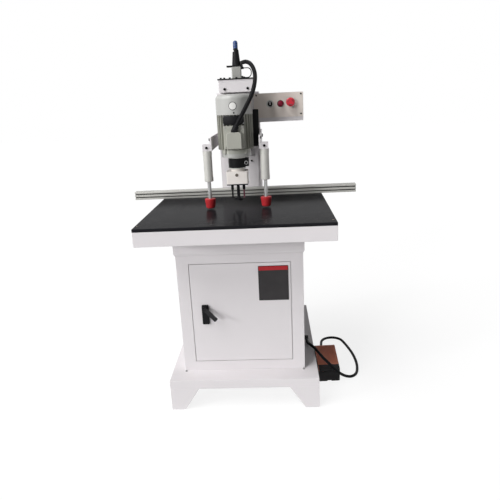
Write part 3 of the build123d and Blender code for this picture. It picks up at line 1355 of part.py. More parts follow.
floor_z = HOSE_R + 1.0
port_end = PEDAL_LENGTH + PORT_LENGTH
hose_points = [
    (outlet_x, outlet_y - OUTLET_REACH, outlet_z),
    (outlet_x, outlet_y - OUTLET_RUN, outlet_z),
    (313, 370, outlet_z + 3),
    (333, 339, outlet_z - 1),
    (353, 313, 146),
    (377, 297, 122),
    (403, 287, 98),
    (430, 279, 72),
    (455, 290, 44),
    (480, 306, 22),
    (510, 318, floor_z + 2),
    (541, 347, floor_z),
    (556, 412, floor_z),
    (559, 482, floor_z),
    (553, 556, floor_z),
    (540, 624, floor_z),
    (526, 680, floor_z),
    (512, 724, floor_z),
    (476, 747, floor_z),
    (433, 742, floor_z),
    (403, 711, floor_z),
    (397, 664, floor_z + 3),
    from_pedal(PORT_ACROSS, port_end + PORT_RISE, PORT_Z - 6),
    from_pedal(PORT_ACROSS, port_end + PORT_RUN, PORT_Z),
    from_pedal(PORT_ACROSS, port_end, PORT_Z),
]
save("pedal_hose", hose("pedal hose", hose_points, HOSE_R))

# Motor conduit: from the leaning gland, up past the motor and over to the over-arm
neck_end = Vector(GLAND_X, gland_y, neck_z) + Vector(sin(lean), 0, cos(lean)) * GLAND_NECK
conduit_gland_top = ARM_TOP + ARM_GLAND_HEIGHT
neck_on = neck_end + Vector(sin(lean), 0, cos(lean)) * 38.0
conduit_points = [
    (neck_end.X, neck_end.Y, neck_end.Z),
    (neck_on.X, neck_on.Y, neck_on.Z),
    (60, HEAD_Y - 94, ARM_TOP - 54),
    (84, HEAD_Y - 75, ARM_TOP - 11),
    (97, HEAD_Y - 35, ARM_TOP + 40),
    (96, HEAD_Y + 6, ARM_TOP + 80),
    (80, HEAD_Y + 44, ARM_TOP + 114),
    (56, HEAD_Y + 96, ARM_TOP + 129),
    (32, HEAD_Y + 156, ARM_TOP + 127),
    (18, CONDUIT_END_Y - 59, ARM_TOP + 126),
    (11, CONDUIT_END_Y - 22, ARM_TOP + 106),
    (CONDUIT_END_X, CONDUIT_END_Y, ARM_TOP + 69),
    (CONDUIT_END_X, CONDUIT_END_Y, conduit_gland_top),
]
save("motor_conduit", hose("motor conduit", conduit_points, CONDUIT_R))

end_gland = Pos(CONDUIT_END_X, CONDUIT_END_Y, ARM_TOP) * extrude(
    RegularPolygon(GLAND_R, 6), amount=ARM_GLAND_HEIGHT / 2
)
end_gland += post(CONDUIT_END_X, CONDUIT_END_Y, ARM_TOP + 1, conduit_gland_top, GLAND_NECK_R)

# Air tube of the feed cylinder, with the fitting at each end
fit_x = feed_right
fit_end = fit_x + AIR_FIT_REACH
air_z = feed_top - AIR_DROP
air_y = feed_y - AIR_AHEAD
air_end_z = air_z - AIR_LOOP
air_fit = barrel_x(air_y, air_z, fit_x, fit_x + 5, 5.5)
air_fit += barrel_x(air_y, air_z, fit_x + 4, fit_end, AIR_FIT_R)
stand_x = fit_x + AIR_STAND_OFF
stand_end = fit_end + AIR_STAND_OFF
beam_fit = block(stand_x, stand_x + 6.5, air_y - 7, air_y + 7, beam_top, air_end_z + 7)
beam_fit += barrel_x(air_y, air_end_z, stand_x + 6, stand_end, AIR_FIT_R)
save("hose_fittings", outlet, end_gland, air_fit, beam_fit)

air_x = fit_end + AIR_RUN
air_points = [
    (fit_end, air_y, air_z),
    (air_x, air_y, air_z),
    (air_x + AIR_LOOP_OUT, air_y, air_z - AIR_LOOP / 2),
    (air_x, air_y, air_end_z),
    (stand_end, air_y, air_end_z),
]
save("air_tube", hose("air tube", air_points, TUBE_R))

# Screws of the frame: beam, column cover, clamp arms, rear cover and column foot
frame_screws = []
for screw_x in (FEED_X - BEAM_SCREW_X, FEED_X + BEAM_SCREW_X):
    screw_z = ARM_TOP + BEAM_SCREW_LIFT
    frame_screws.append(barrel_y(screw_x, screw_z, BEAM_FRONT - SCREW_HEAD, BEAM_FRONT, BEAM_SCREW_R))
screw_y = BEAM_FRONT + TOP_SCREW_BACK
for screw_x in TOP_SCREW_PLACES:
    frame_screws.append(post(FEED_X + screw_x, screw_y, beam_top, beam_top + SCREW_HEAD, SCREW_R))
for screw_x in (-COVER_WIDTH / 2 + COVER_SCREW_IN, COVER_WIDTH / 2 - COVER_SCREW_IN):
    for screw_z in (cover_z0 + COVER_SCREW_LOW, TABLE_HEIGHT + COVER_SCREW_HIGH):
        frame_screws.append(barrel_y(screw_x, screw_z, cover_front - SCREW_HEAD, cover_front, SCREW_R))
arm_mid = (CLAMP_ARM_BOTTOM + CLAMP_ARM_TOP) / 2
arm_places = [(CLAMP_ARM_FRONT + ARM_SCREW_FRONT, CLAMP_ARM_TOP - ARM_SCREW_DROP)]
arm_places += [(COLUMN_FRONT + back, arm_mid) for back in ARM_SCREW_BACKS]
for screw_y, screw_z in arm_places:
    arm_screw = barrel_x(screw_y, screw_z, arm_out, arm_out + SCREW_HEAD, ARM_SCREW_R)
    frame_screws.extend([arm_screw, flipped(arm_screw)])
block_mid = clamp_top + CLAMP_BLOCK_HEIGHT / 2
block_screw = barrel_y(CLAMP_X, block_mid, CLAMP_ARM_FRONT - SCREW_HEAD, CLAMP_ARM_FRONT, BEAM_SCREW_R)
frame_screws.extend([block_screw, flipped(block_screw)])
cover_face = cabinet_back + REAR_COVER_T
for screw_x in (-cover_half + REAR_SCREW_IN, cover_half - REAR_SCREW_IN):
    for screw_z in (door_bottom + REAR_SCREW_IN, cover_top - REAR_SCREW_IN):
        rear_screw = barrel_y(screw_x, screw_z, cover_face, cover_face + REAR_SCREW_HEAD, REAR_SCREW_R)
        frame_screws.append(rear_screw)
for screw_x in (-flange_half + FOOT_BOLT_IN, flange_half - FOOT_BOLT_IN):
    for screw_y in (COLUMN_FRONT + FOOT_BOLT_Y, column_back - FOOT_BOLT_Y):
        frame_screws.append(post(screw_x, screw_y, flange_top, flange_top + FOOT_BOLT_R, FOOT_BOLT_R))
save("frame_screws", *frame_screws)
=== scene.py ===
import math

import bmesh
import bpy
from mathutils import Euler, Matrix, Vector


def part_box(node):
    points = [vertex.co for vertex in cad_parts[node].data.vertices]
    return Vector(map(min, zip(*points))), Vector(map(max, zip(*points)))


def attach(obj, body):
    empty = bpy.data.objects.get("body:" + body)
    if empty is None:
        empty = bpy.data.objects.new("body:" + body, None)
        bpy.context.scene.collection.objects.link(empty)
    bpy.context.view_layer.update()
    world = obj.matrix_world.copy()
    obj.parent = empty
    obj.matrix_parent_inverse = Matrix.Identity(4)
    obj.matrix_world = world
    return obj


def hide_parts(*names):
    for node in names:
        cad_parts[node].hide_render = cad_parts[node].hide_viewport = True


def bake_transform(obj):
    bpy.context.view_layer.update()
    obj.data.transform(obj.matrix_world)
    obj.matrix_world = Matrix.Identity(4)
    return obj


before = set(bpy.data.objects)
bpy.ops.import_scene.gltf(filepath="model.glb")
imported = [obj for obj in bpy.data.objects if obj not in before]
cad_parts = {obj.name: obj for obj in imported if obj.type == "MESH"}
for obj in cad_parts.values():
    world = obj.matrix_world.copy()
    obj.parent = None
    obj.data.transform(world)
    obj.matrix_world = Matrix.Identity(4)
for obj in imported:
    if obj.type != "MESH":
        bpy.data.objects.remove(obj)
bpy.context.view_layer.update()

MM = 0.001
TABLE_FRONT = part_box("table_board")[0].y


def spot(x, y, z):
    """A place in millimetres, with y counted back from the table's front edge."""
    return Vector((x * MM, TABLE_FRONT + y * MM, z * MM))


def front_of(node):
    """How far a solid's front lies behind the table's front edge, in millimetres."""
    return round((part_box(node)[0].y - TABLE_FRONT) / MM, 3)


def top_of(node):
    """How high a solid's top lies, in millimetres."""
    return round(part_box(node)[1].z / MM, 3)


# Camera
CAMERA_PLACE = (154.6, -1849.0, 1327.6)
CAMERA_TURN = (73.285, 2.6357, 2.1713)
CAMERA_LENS = 35.67
SENSOR_WIDTH = 36.0
VIEW_REACH = 30.0


def set_camera():
    view = bpy.data.cameras.new("viewpoint")
    view.lens = CAMERA_LENS
    view.sensor_width = SENSOR_WIDTH
    view.clip_end = VIEW_REACH
    camera = bpy.data.objects.new("viewpoint", view)
    camera.location = spot(*CAMERA_PLACE)
    camera.rotation_euler = Euler([math.radians(angle) for angle in CAMERA_TURN], "XYZ")
    bpy.context.scene.collection.objects.link(camera)
    bpy.context.scene.camera = camera


set_camera()


# Shared surface effects
def open_group(name, inputs, outputs):
    """A shader node group with its sockets made, and its two end nodes."""
    group = bpy.data.node_groups.new(name, "ShaderNodeTree")
    for label, kind, value in inputs:
        socket = group.interface.new_socket(label, in_out="INPUT", socket_type=kind)
        socket.default_value = value
    for label, kind in outputs:
        group.interface.new_socket(label, in_out="OUTPUT", socket_type=kind)
    start = group.nodes.new("NodeGroupInput")
    end = group.nodes.new("NodeGroupOutput")
    return group, start, end


def feed(tree, socket, value):
    """Gives a socket a plain value, or links another node's output to it."""
    if isinstance(value, bpy.types.NodeSocket):
        tree.links.new(value, socket)
    else:
        socket.default_value = value


def feed_all(tree, node, values):
    """Feeds a node's sockets by their names, with an underscore for each space."""
    for label, value in values.items():
        feed(tree, node.inputs[label.replace("_", " ")], value)
    return node


def place(tree, kind, **values):
    """A node in the tree, with its sockets fed by their names."""
    return feed_all(tree, tree.nodes.new(kind), values)


def place_group(tree, group, **values):
    """A node in the tree for a shared effect, with its sockets fed by their names."""
    node = tree.nodes.new("ShaderNodeGroup")
    node.node_tree = group
    return feed_all(tree, node, values)


def reckon(tree, operation, *terms):
    """The output of a sum in the tree, whose terms are numbers or other outputs."""
    node = tree.nodes.new("ShaderNodeMath")
    node.operation = operation
    for socket, term in zip(node.inputs, terms):
        feed(tree, socket, term)
    return node.outputs[0]


def make_tone_drift():
    """Slow drift of a paint's or plastic's tone over a piece."""
    group, start, end = open_group(
        "tone_drift",
        [
            ("Color", "NodeSocketColor", (0.5, 0.5, 0.5, 1.0)),
            ("Drift", "NodeSocketFloat", 0.05),
            ("Scale", "NodeSocketFloat", 5.0),
        ],
        [("Color", "NodeSocketColor")],
    )
    where = group.nodes.new("ShaderNodeTexCoord")
    cloud = place(group, "ShaderNodeTexNoise", Vector=where.outputs["Object"],
                  Scale=start.outputs["Scale"], Detail=4.0, Roughness=0.6)
    low = reckon(group, "SUBTRACT", 1.0, start.outputs["Drift"])
    high = reckon(group, "ADD", 1.0, start.outputs["Drift"])
    level = place(group, "ShaderNodeMapRange", Value=cloud.outputs["Fac"],
                  From_Min=0.3, From_Max=0.7, To_Min=low, To_Max=high)
    shade = place(group, "ShaderNodeHueSaturation", Color=start.outputs["Color"],
                  Value=level.outputs["Result"])
    group.links.new(shade.outputs["Color"], end.inputs["Color"])
    return group


def make_skin_grain():
    """Fine grain of a skin: peel of a paint, brushing of a metal, pebble of a moulding."""
    group, start, end = open_group(
        "skin_grain",
        [
            ("Scale", "NodeSocketFloat", 400.0),
            ("Stretch", "NodeSocketVector", (1.0, 1.0, 1.0)),
            ("Rough Low", "NodeSocketFloat", 0.3),
            ("Rough High", "NodeSocketFloat", 0.5),
        ],
        [("Height", "NodeSocketFloat"), ("Roughness", "NodeSocketFloat")],
    )
    where = group.nodes.new("ShaderNodeTexCoord")
    stretch = place(group, "ShaderNodeMapping", Vector=where.outputs["Object"],
                    Scale=start.outputs["Stretch"])
    grain = place(group, "ShaderNodeTexNoise", Vector=stretch.outputs["Vector"],
                  Scale=start.outputs["Scale"], Detail=3.0, Roughness=0.55)
    patch = place(group, "ShaderNodeTexNoise", Vector=where.outputs["Object"],
                  Scale=14.0, Detail=3.0)
    half = reckon(group, "MULTIPLY", patch.outputs["Fac"], 0.5)
    both = reckon(group, "MULTIPLY_ADD", grain.outputs["Fac"], 0.5, half)
    level = place(group, "ShaderNodeMapRange", Value=both, From_Min=0.3, From_Max=0.7,
                  To_Min=start.outputs["Rough Low"], To_Max=start.outputs["Rough High"])
    group.links.new(grain.outputs["Fac"], end.inputs["Height"])
    group.links.new(level.outputs["Result"], end.inputs["Roughness"])
    return group


def make_shop_dust():
    """Thin wood dust that settles on what faces up."""
    group, start, end = open_group(
        "shop_dust",
        [("Amount", "NodeSocketFloat", 0.2), ("Scale", "NodeSocketFloat", 25.0)],
        [("Mask", "NodeSocketFloat")],
    )
    facing = group.nodes.new("ShaderNodeNewGeometry")
    split = place(group, "ShaderNodeSeparateXYZ", Vector=facing.outputs["Normal"])
    upward = place(group, "ShaderNodeMapRange", Value=split.outputs["Z"],
                   From_Min=0.35, From_Max=0.95)
    where = group.nodes.new("ShaderNodeTexCoord")
    drift = place(group, "ShaderNodeTexNoise", Vector=where.outputs["Object"],
                  Scale=start.outputs["Scale"], Detail=6.0, Roughness=0.7)
    patchy = place(group, "ShaderNodeMapRange", Value=drift.outputs["Fac"],
                   From_Min=0.42, From_Max=0.72)
    laid = reckon(group, "MULTIPLY", upward.outputs["Result"], patchy.outputs["Result"])
    thin = reckon(group, "MULTIPLY", laid, start.outputs["Amount"])
    group.links.new(thin, end.inputs["Mask"])
    return group


def make_edge_rub():
    """Rubbed edges, where a finish wears through to what is under it."""
    group, start, end = open_group(
        "edge_rub",
        [("Radius", "NodeSocketFloat", 0.0015), ("Amount", "NodeSocketFloat", 0.5)],
        [("Mask", "NodeSocketFloat")],
    )
    rounded = place(group, "ShaderNodeBevel", Radius=start.outputs["Radius"])
    rounded.samples = 4
    flat = group.nodes.new("ShaderNodeNewGeometry")
    agree = group.nodes.new("ShaderNodeVectorMath")
    agree.operation = "DOT_PRODUCT"
    group.links.new(rounded.outputs["Normal"], agree.inputs[0])
    group.links.new(flat.outputs["Normal"], agree.inputs[1])
    edge = place(group, "ShaderNodeMapRange", Value=agree.outputs["Value"],
                 From_Min=0.97, From_Max=0.80)
    where = group.nodes.new("ShaderNodeTexCoord")
    chips = place(group, "ShaderNodeTexNoise", Vector=where.outputs["Object"],
                  Scale=160.0, Detail=4.0, Roughness=0.7)
    broken = place(group, "ShaderNodeMapRange", Value=chips.outputs["Fac"],
                   From_Min=0.40, From_Max=0.62)
    worn = reckon(group, "MULTIPLY", edge.outputs["Result"], broken.outputs["Result"])
    much = reckon(group, "MULTIPLY", worn, start.outputs["Amount"])
    group.links.new(much, end.inputs["Mask"])
    return group


TONE_DRIFT = make_tone_drift()
SKIN_GRAIN = make_skin_grain()
SHOP_DUST = make_shop_dust()
EDGE_RUB = make_edge_rub()
DUST_COLOUR = (0.60, 0.54, 0.46, 1.0)
COAT_ROUGHNESS = 0.15


def linear(red, green, blue):
    """A colour given as 0 to 255 on screen, for a colour socket."""
    def one(level):
        level /= 255.0
        return level / 12.92 if level <= 0.04045 else ((level + 0.055) / 1.055) ** 2.4
    return (one(red), one(green), one(blue), 1.0)


def mix_over(tree, under, over, mask):
    """Lays a plain colour over a varying one by a mask, and gives the mixed output."""
    mix = tree.nodes.new("ShaderNodeMix")
    mix.data_type = "RGBA"
    tree.links.new(mask, mix.inputs["Factor"])
    tree.links.new(under, mix.inputs["A"])
    mix.inputs["B"].default_value = over
    return mix.outputs["Result"]


def make_finish(name, colour, rough, metal=0.0, drift=(0.04, 5.0), grain=500.0,
                stretch=(1, 1, 1), bump=(0.15, 0.0002), dust=0.0, rub=None, coat=0.0, ior=1.5):
    """A finish: drifting tone, grained skin, dust on top faces and rubbed edges.

    rough holds the least and most roughness, drift an amount and a scale, bump a strength
    and a height in metres, and rub an amount and the colour below.
    """
    finish = bpy.data.materials.new(name)
    finish.use_nodes = True
    tree = finish.node_tree
    shader = tree.nodes["Principled BSDF"]
    feed_all(tree, shader, {"Metallic": metal, "IOR": ior, "Coat Weight": coat,
                            "Coat Roughness": COAT_ROUGHNESS})
    tone = place_group(tree, TONE_DRIFT, Color=colour, Drift=drift[0], Scale=drift[1])
    shown = tone.outputs["Color"]
    if dust:
        settled = place_group(tree, SHOP_DUST, Amount=dust)
        shown = mix_over(tree, shown, DUST_COLOUR, settled.outputs["Mask"])
    if rub:
        rubbed = place_group(tree, EDGE_RUB, Amount=rub[0])
        shown = mix_over(tree, shown, rub[1], rubbed.outputs["Mask"])
    tree.links.new(shown, shader.inputs["Base Color"])
    skin = place_group(
        tree, SKIN_GRAIN, Scale=grain, Stretch=stretch, Rough_Low=rough[0], Rough_High=rough[1]
    )
    tree.links.new(skin.outputs["Roughness"], shader.inputs["Roughness"])
    relief = place(tree, "ShaderNodeBump", Height=skin.outputs["Height"],
                   Strength=bump[0], Distance=bump[1])
    tree.links.new(relief.outputs["Normal"], shader.inputs["Normal"])
    return finish


# Finishes
BARE_STEEL = linear(150, 148, 144)
PRIMER = linear(120, 118, 116)
FINISHES = {
    "white_paint": make_finish(
        "powder_white", linear(219, 215, 217), (0.32, 0.48), drift=(0.018, 3.0),
        grain=420.0, bump=(0.10, 0.0003), dust=0.08, coat=0.10, ior=1.4,
    ),
    "dark_board": make_finish(
        "board_laminate", linear(32, 32, 35), (0.16, 0.24), drift=(0.06, 4.0),
        grain=900.0, bump=(0.04, 0.0001), dust=0.015, ior=1.045,
    ),
    "aluminium": make_finish(
        "anodised_aluminium", linear(194, 193, 188), (0.26, 0.44), metal=0.2, drift=(0.05, 8.0),
        grain=700.0, stretch=(0.03, 1, 1), bump=(0.06, 0.0001), dust=0.05,
    ),
    "black_metal": make_finish(
        "black_oxide", linear(20, 20, 22), (0.36, 0.54), drift=(0.18, 14.0),
        grain=650.0, bump=(0.12, 0.0002), dust=0.03, rub=(0.20, BARE_STEEL), ior=1.2,
    ),
    "steel": make_finish(
        "ground_steel", linear(172, 172, 172), (0.18, 0.36), metal=0.6, drift=(0.06, 20.0),
        grain=800.0, stretch=(1, 1, 0.05), bump=(0.05, 0.0001),
    ),
    "motor_grey": make_finish(
        "motor_enamel", linear(162, 162, 153), (0.36, 0.52), drift=(0.05, 9.0),
        grain=380.0, bump=(0.16, 0.0003), dust=0.08, rub=(0.30, linear(200, 200, 196)),
    ),
    "motor_steel": make_finish(
        "rotor_steel", linear(120, 112, 104), (0.40, 0.62), metal=0.9, drift=(0.15, 12.0),
        grain=500.0, stretch=(1, 1, 0.1), bump=(0.10, 0.0002),
    ),
    "cover_grey": make_finish(
        "fan_cover_enamel", linear(172, 172, 169), (0.30, 0.44), drift=(0.03, 7.0),
        grain=380.0, bump=(0.12, 0.0003), dust=0.08,
    ),
    "panel_grey": make_finish(
        "panel_satin", linear(228, 219, 211), (0.34, 0.48), drift=(0.04, 8.0),
        grain=800.0, stretch=(0.04, 1, 1), bump=(0.05, 0.0001), ior=1.3,
    ),
    "black_plastic": make_finish(
        "black_moulding", linear(21, 21, 23), (0.38, 0.54), drift=(0.10, 16.0),
        grain=1200.0, bump=(0.16, 0.0002), dust=0.03, ior=1.2,
    ),
    "red_rubber": make_finish(
        "red_rubber", linear(168, 36, 42), (0.46, 0.64), drift=(0.10, 22.0),
        grain=900.0, bump=(0.20, 0.0003), dust=0.04, ior=1.35,
    ),
    "red_plastic": make_finish(
        "stop_button_red", linear(222, 46, 66), (0.20, 0.32), drift=(0.05, 20.0),
        grain=900.0, bump=(0.04, 0.0001), coat=0.1, ior=1.35,
    ),
    "lamp_red": make_finish(
        "lamp_red", linear(128, 12, 44), (0.16, 0.28), drift=(0.12, 40.0),
        grain=600.0, bump=(0.03, 0.0001), ior=1.25,
    ),
    "treadle_paint": make_finish(
        "treadle_orange", linear(221, 134, 109), (0.42, 0.62), drift=(0.16, 12.0),
        grain=500.0, bump=(0.18, 0.0003), dust=0.12, rub=(0.6, PRIMER), ior=1.35,
    ),
    "blue_plastic": make_finish(
        "knob_blue", linear(42, 70, 122), (0.26, 0.40), drift=(0.08, 24.0),
        grain=900.0, bump=(0.08, 0.0001), ior=1.4,
    ),
    "bit_red": make_finish(
        "drill_coating", linear(102, 54, 66), (0.30, 0.46), metal=0.3, drift=(0.12, 30.0),
        grain=900.0, stretch=(1, 1, 0.2), bump=(0.06, 0.0001), rub=(0.4, BARE_STEEL),
    ),
    "hose_black": make_finish(
        "hose_rubber", linear(14, 14, 16), (0.44, 0.60), drift=(0.10, 18.0),
        grain=700.0, bump=(0.10, 0.0002), dust=0.02, ior=1.18,
    ),
    "gear_case": make_finish(
        "gear_case_enamel", linear(236, 230, 225), (0.30, 0.44), drift=(0.02, 9.0),
        grain=420.0, bump=(0.10, 0.0003), dust=0.05, ior=1.4,
    ),
    # A darker copy of the anodised aluminium: painted shade on the feed cylinder's barrel
    "feed_barrel": make_finish(
        "feed_barrel_painted_shade", linear(158, 158, 154), (0.28, 0.44), metal=0.2, drift=(0.05, 10.0),
        grain=700.0, stretch=(1, 1, 0.05), bump=(0.06, 0.0001),
    ),
    "pedal_case": make_finish(
        "pedal_case_moulding", linear(48, 47, 48), (0.38, 0.54), drift=(0.10, 16.0),
        grain=1200.0, bump=(0.16, 0.0002), dust=0.03, ior=1.2,
    ),
}


# Carried-over solids: a finish and softened edges
EDGE_WIDTHS = {"white_paint": 1.0, "dark_board": 0.8, "motor_grey": 0.5, "steel": 0.3}
EDGE_WIDTH = 0.4
EDGE_LIMIT = 35.0
WELD_REACH = 0.02
OWN_FINISHES = {
    # The feed cylinder takes the darker barrel finish, which is painted shade
    "lock_boss": "black_metal", "gear_housing": "gear_case", "feed_cylinder": "feed_barrel",
    "left_dowel_bit": "black_metal", "pedal_base": "pedal_case",
}


def dress_solid(node, solid):
    """Gives a solid its finish, joins its facets and takes the sharpness off its edges."""
    slot_name = OWN_FINISHES.get(node, solid.data.materials[0].name.split(".")[0])
    solid.data.materials.clear()
    solid.data.materials.append(FINISHES[slot_name])
    weld = solid.modifiers.new("joined", "WELD")
    weld.merge_threshold = WELD_REACH * MM
    soften = solid.modifiers.new("softened", "BEVEL")
    soften.width = EDGE_WIDTHS.get(slot_name, EDGE_WIDTH) * MM
    soften.segments = 2
    soften.limit_method = "ANGLE"
    soften.angle_limit = math.radians(EDGE_LIMIT)
    soften.use_clamp_overlap = True
    even = solid.modifiers.new("even_shading", "WEIGHTED_NORMAL")
    even.mode = "FACE_AREA_WITH_ANGLE"
    even.weight = 50
    even.keep_sharp = True


for node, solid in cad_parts.items():
    dress_solid(node, solid)


# Cords
HOSE_WIDTH = 14.0
CONDUIT_WIDTH = 18.0
TUBE_WIDTH = 4.0
PEDAL_HOSE_ROUTE = [
    (302, 436, 163), (302, 398, 163), (313, 370, 166), (333, 339, 162), (353, 313, 146),
    (377, 297, 122), (403, 287, 98), (430, 279, 72), (455, 290, 44), (480, 306, 22),
    (510, 318, 10), (541, 347, 8), (556, 412, 8), (559, 482, 8), (553, 556, 8),
    (540, 624, 8), (526, 680, 8), (512, 724, 8), (476, 747, 8), (433, 742, 8),
    (403, 711, 8), (397, 664, 11), (391.6, 613.9, 24), (393.5, 575.9, 30), (395.3, 542, 30),
]
CONDUIT_ROUTE = [
    (11.5, 279, 1230.7), (30.5, 279, 1263.6), (60, 286, 1314), (84, 305, 1357), (97, 345, 1408),
    (96, 386, 1448), (80, 424, 1482), (56, 476, 1497), (32, 536, 1495), (18, 581, 1494),
    (11, 618, 1474), (8, 640, 1437), (8, 640, 1384),
]
AIR_TUBE_ROUTE = [
    (45, 482, 1470), (55, 482, 1470), (67.4, 482, 1470), (77.6, 482, 1460), (77.6, 482, 1440),
    (67.4, 482, 1430), (55, 482, 1430), (46.5, 482, 1430),
]


def lay_line(name, route):
    """A smooth open line with the route's places as its control points."""
    line = bpy.data.curves.new(name, "CURVE")
    line.dimensions = "3D"
    line.resolution_u = 16
    spline = line.splines.new("NURBS")
    spline.points.add(len(route) - 1)
    for point, where in zip(spline.points, route):
        point.co = (*spot(*where), 1.0)
    spline.order_u = 3
    spline.use_endpoint_u = True
    cord = bpy.data.objects.new(name, line)
    bpy.context.scene.collection.objects.link(cord)
    return cord


def line_points(cord):
    """The places along a line that has no thickness yet."""
    thin = bpy.data.meshes.new_from_object(cord)
    places = [vertex.co.copy() for vertex in thin.vertices]
    bpy.data.meshes.remove(thin)
    return places


def line_length(places):
    return sum((b - a).length for a, b in zip(places, places[1:]))


def thicken(cord, width, roundness):
    """Gives a line a round section with closed ends."""
    cord.data.bevel_depth = width * MM / 2
    cord.data.bevel_resolution = roundness
    cord.data.use_fill_caps = True


def lay_tube(name, route, width, node):
    """A cord that stays where it lies: a line with a round section."""
    cord = lay_line(name, route)
    length = line_length(line_points(cord))
    thicken(cord, width, 5)
    cord.data.materials.append(FINISHES["hose_black"])
    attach(cord, "frame")
    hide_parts(node)


lay_tube("foot_hose", PEDAL_HOSE_ROUTE, HOSE_WIDTH, "pedal_hose")
lay_tube("feed_air_tube", AIR_TUBE_ROUTE, TUBE_WIDTH, "air_tube")


def lay_conduit():
    """The motor's conduit, one fixed curved tube from the head to the over-arm."""
    line = lay_line("conduit_line", CONDUIT_ROUTE)
    places = line_points(line)
    thicken(line, CONDUIT_WIDTH, 8)
    skin = bpy.data.meshes.new_from_object(line)
    skin.name = "motor_lead"
    bpy.data.objects.remove(line)
    conduit = bpy.data.objects.new("motor_lead", skin)
    bpy.context.scene.collection.objects.link(conduit)
    skin.materials.clear()
    skin.materials.append(FINISHES["hose_black"])
    for face in skin.polygons:
        face.use_smooth = True
    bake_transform(conduit)
    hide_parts("motor_conduit")


lay_conduit()


# Shaping by hand
SAME_LEVEL = 0.01
MERGE_REACH = 0.005
LONG_EDGE = 500.0
# The upward part of a face's normal: the least if it faces up, the most if it stands upright
FACES_UP = 0.9
UPRIGHT = 0.05
BEND_STEP = 3.0
LEAST_STEPS = 8


def let_go():
    """Leaves no object chosen."""
    bpy.ops.object.select_all(action="DESELECT")


def start_shape(name):
    """Names the primitive just added and opens it for shaping."""
    piece = bpy.context.object
    piece.name = name
    piece.data.name = name
    bpy.ops.object.mode_set(mode="EDIT")
    return piece


def start_sized(name, add, *sides):
    """Adds a cube or plane at the origin and opens it at the given sides, in millimetres."""
    let_go()
    add(size=MM)
    piece = start_shape(name)
    choose_all()
    bpy.ops.transform.resize(value=sides, center_override=(0, 0, 0))
    return piece


def choose(piece, kind, test):
    """Chooses the faces, edges or points of an open piece that pass a test of their place."""
    bpy.ops.mesh.select_mode(type=kind)
    bpy.ops.mesh.select_all(action="DESELECT")
    shape = bmesh.from_edit_mesh(piece.data)
    kinds = {"FACE": shape.faces, "EDGE": shape.edges, "VERT": shape.verts}
    for item in kinds[kind]:
        if test(item):
            item.select_set(True)
    bmesh.update_edit_mesh(piece.data)


def choose_all():
    bpy.ops.mesh.select_all(action="SELECT")


def choose_faces_up(piece):
    choose(piece, "FACE", lambda face: face.normal.z > FACES_UP)


def choose_long_edges(piece):
    """Chooses the edges that run along a bar."""
    choose(piece, "EDGE", lambda edge: edge.calc_length() > LONG_EDGE * MM)


def push(x, y, z):
    """Moves what is chosen, in millimetres."""
    bpy.ops.transform.translate(value=(x * MM, y * MM, z * MM))


def pull_out(x, y, z):
    """Extrudes what is chosen, in millimetres."""
    bpy.ops.mesh.extrude_region_move(TRANSFORM_OT_translate={"value": (x * MM, y * MM, z * MM)})


def open_edges(piece, height):
    """Chooses the open edges at a height in millimetres."""
    choose(piece, "EDGE", lambda edge: len(edge.link_faces) == 1
           and all(abs(vert.co.z - height * MM) < SAME_LEVEL * MM for vert in edge.verts))


def smooth_below(angle):
    """Smooths the active piece where its faces meet at less than an angle in degrees."""
    bpy.ops.object.shade_smooth_by_angle(angle=math.radians(angle))


def end_shape(piece, smooth=40.0):
    """Merges doubles, turns faces outward and closes a piece, its place in its mesh."""
    choose_all()
    bpy.ops.mesh.remove_doubles(threshold=MERGE_REACH * MM)
    bpy.ops.mesh.normals_make_consistent(inside=False)
    bpy.ops.object.mode_set(mode="OBJECT")
    bpy.ops.object.transform_apply(location=True, rotation=True, scale=True)
    smooth_below(smooth)
    return piece


def change_by(piece, kind, **values):
    """Adds a modifier to a closed piece and applies it."""
    let_go()
    piece.select_set(True)
    bpy.context.view_layer.objects.active = piece
    change = piece.modifiers.new(kind.lower(), kind)
    for label, value in values.items():
        setattr(change, label, value)
    bpy.ops.object.modifier_apply(modifier=change.name)


FACING = {
    "up": Matrix.Identity(4),
    "front": Matrix.Rotation(math.radians(90), 4, "X"),
    "back": Matrix.Rotation(math.radians(-90), 4, "X"),
    "right": Matrix.Rotation(math.radians(90), 4, "Y"),
    "left": Matrix.Rotation(math.radians(-90), 4, "Y"),
}


def seat(piece, where, facing="up", roll=0.0):
    """Sets a piece that was shaped facing up at the origin where it belongs."""
    turn = FACING[facing] @ Matrix.Rotation(math.radians(roll), 4, "Z")
    piece.data.transform(Matrix.Translation(where) @ turn)
    return piece


def copy_of(piece, name):
    """A copy with a mesh of its own."""
    twin = piece.copy()
    twin.data = piece.data.copy()
    twin.name = name
    twin.data.name = name
    bpy.context.scene.collection.objects.link(twin)
    return twin


def join_all(name, pieces):
    """Joins pieces into the first of them and names it."""
    let_go()
    for piece in pieces:
        piece.select_set(True)
    bpy.context.view_layer.objects.active = pieces[0]
    bpy.ops.object.join()
    pieces[0].name = name
    pieces[0].data.name = name
    return pieces[0]


def dress_piece(piece, slot_name, body, *nodes, finish=None):
    """Gives a new piece its finish, the body it rides on and the solids it stands for."""
    piece.data.materials.clear()
    piece.data.materials.append(finish or FINISHES[slot_name])
    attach(piece, body)
    if nodes:
        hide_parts(*nodes)


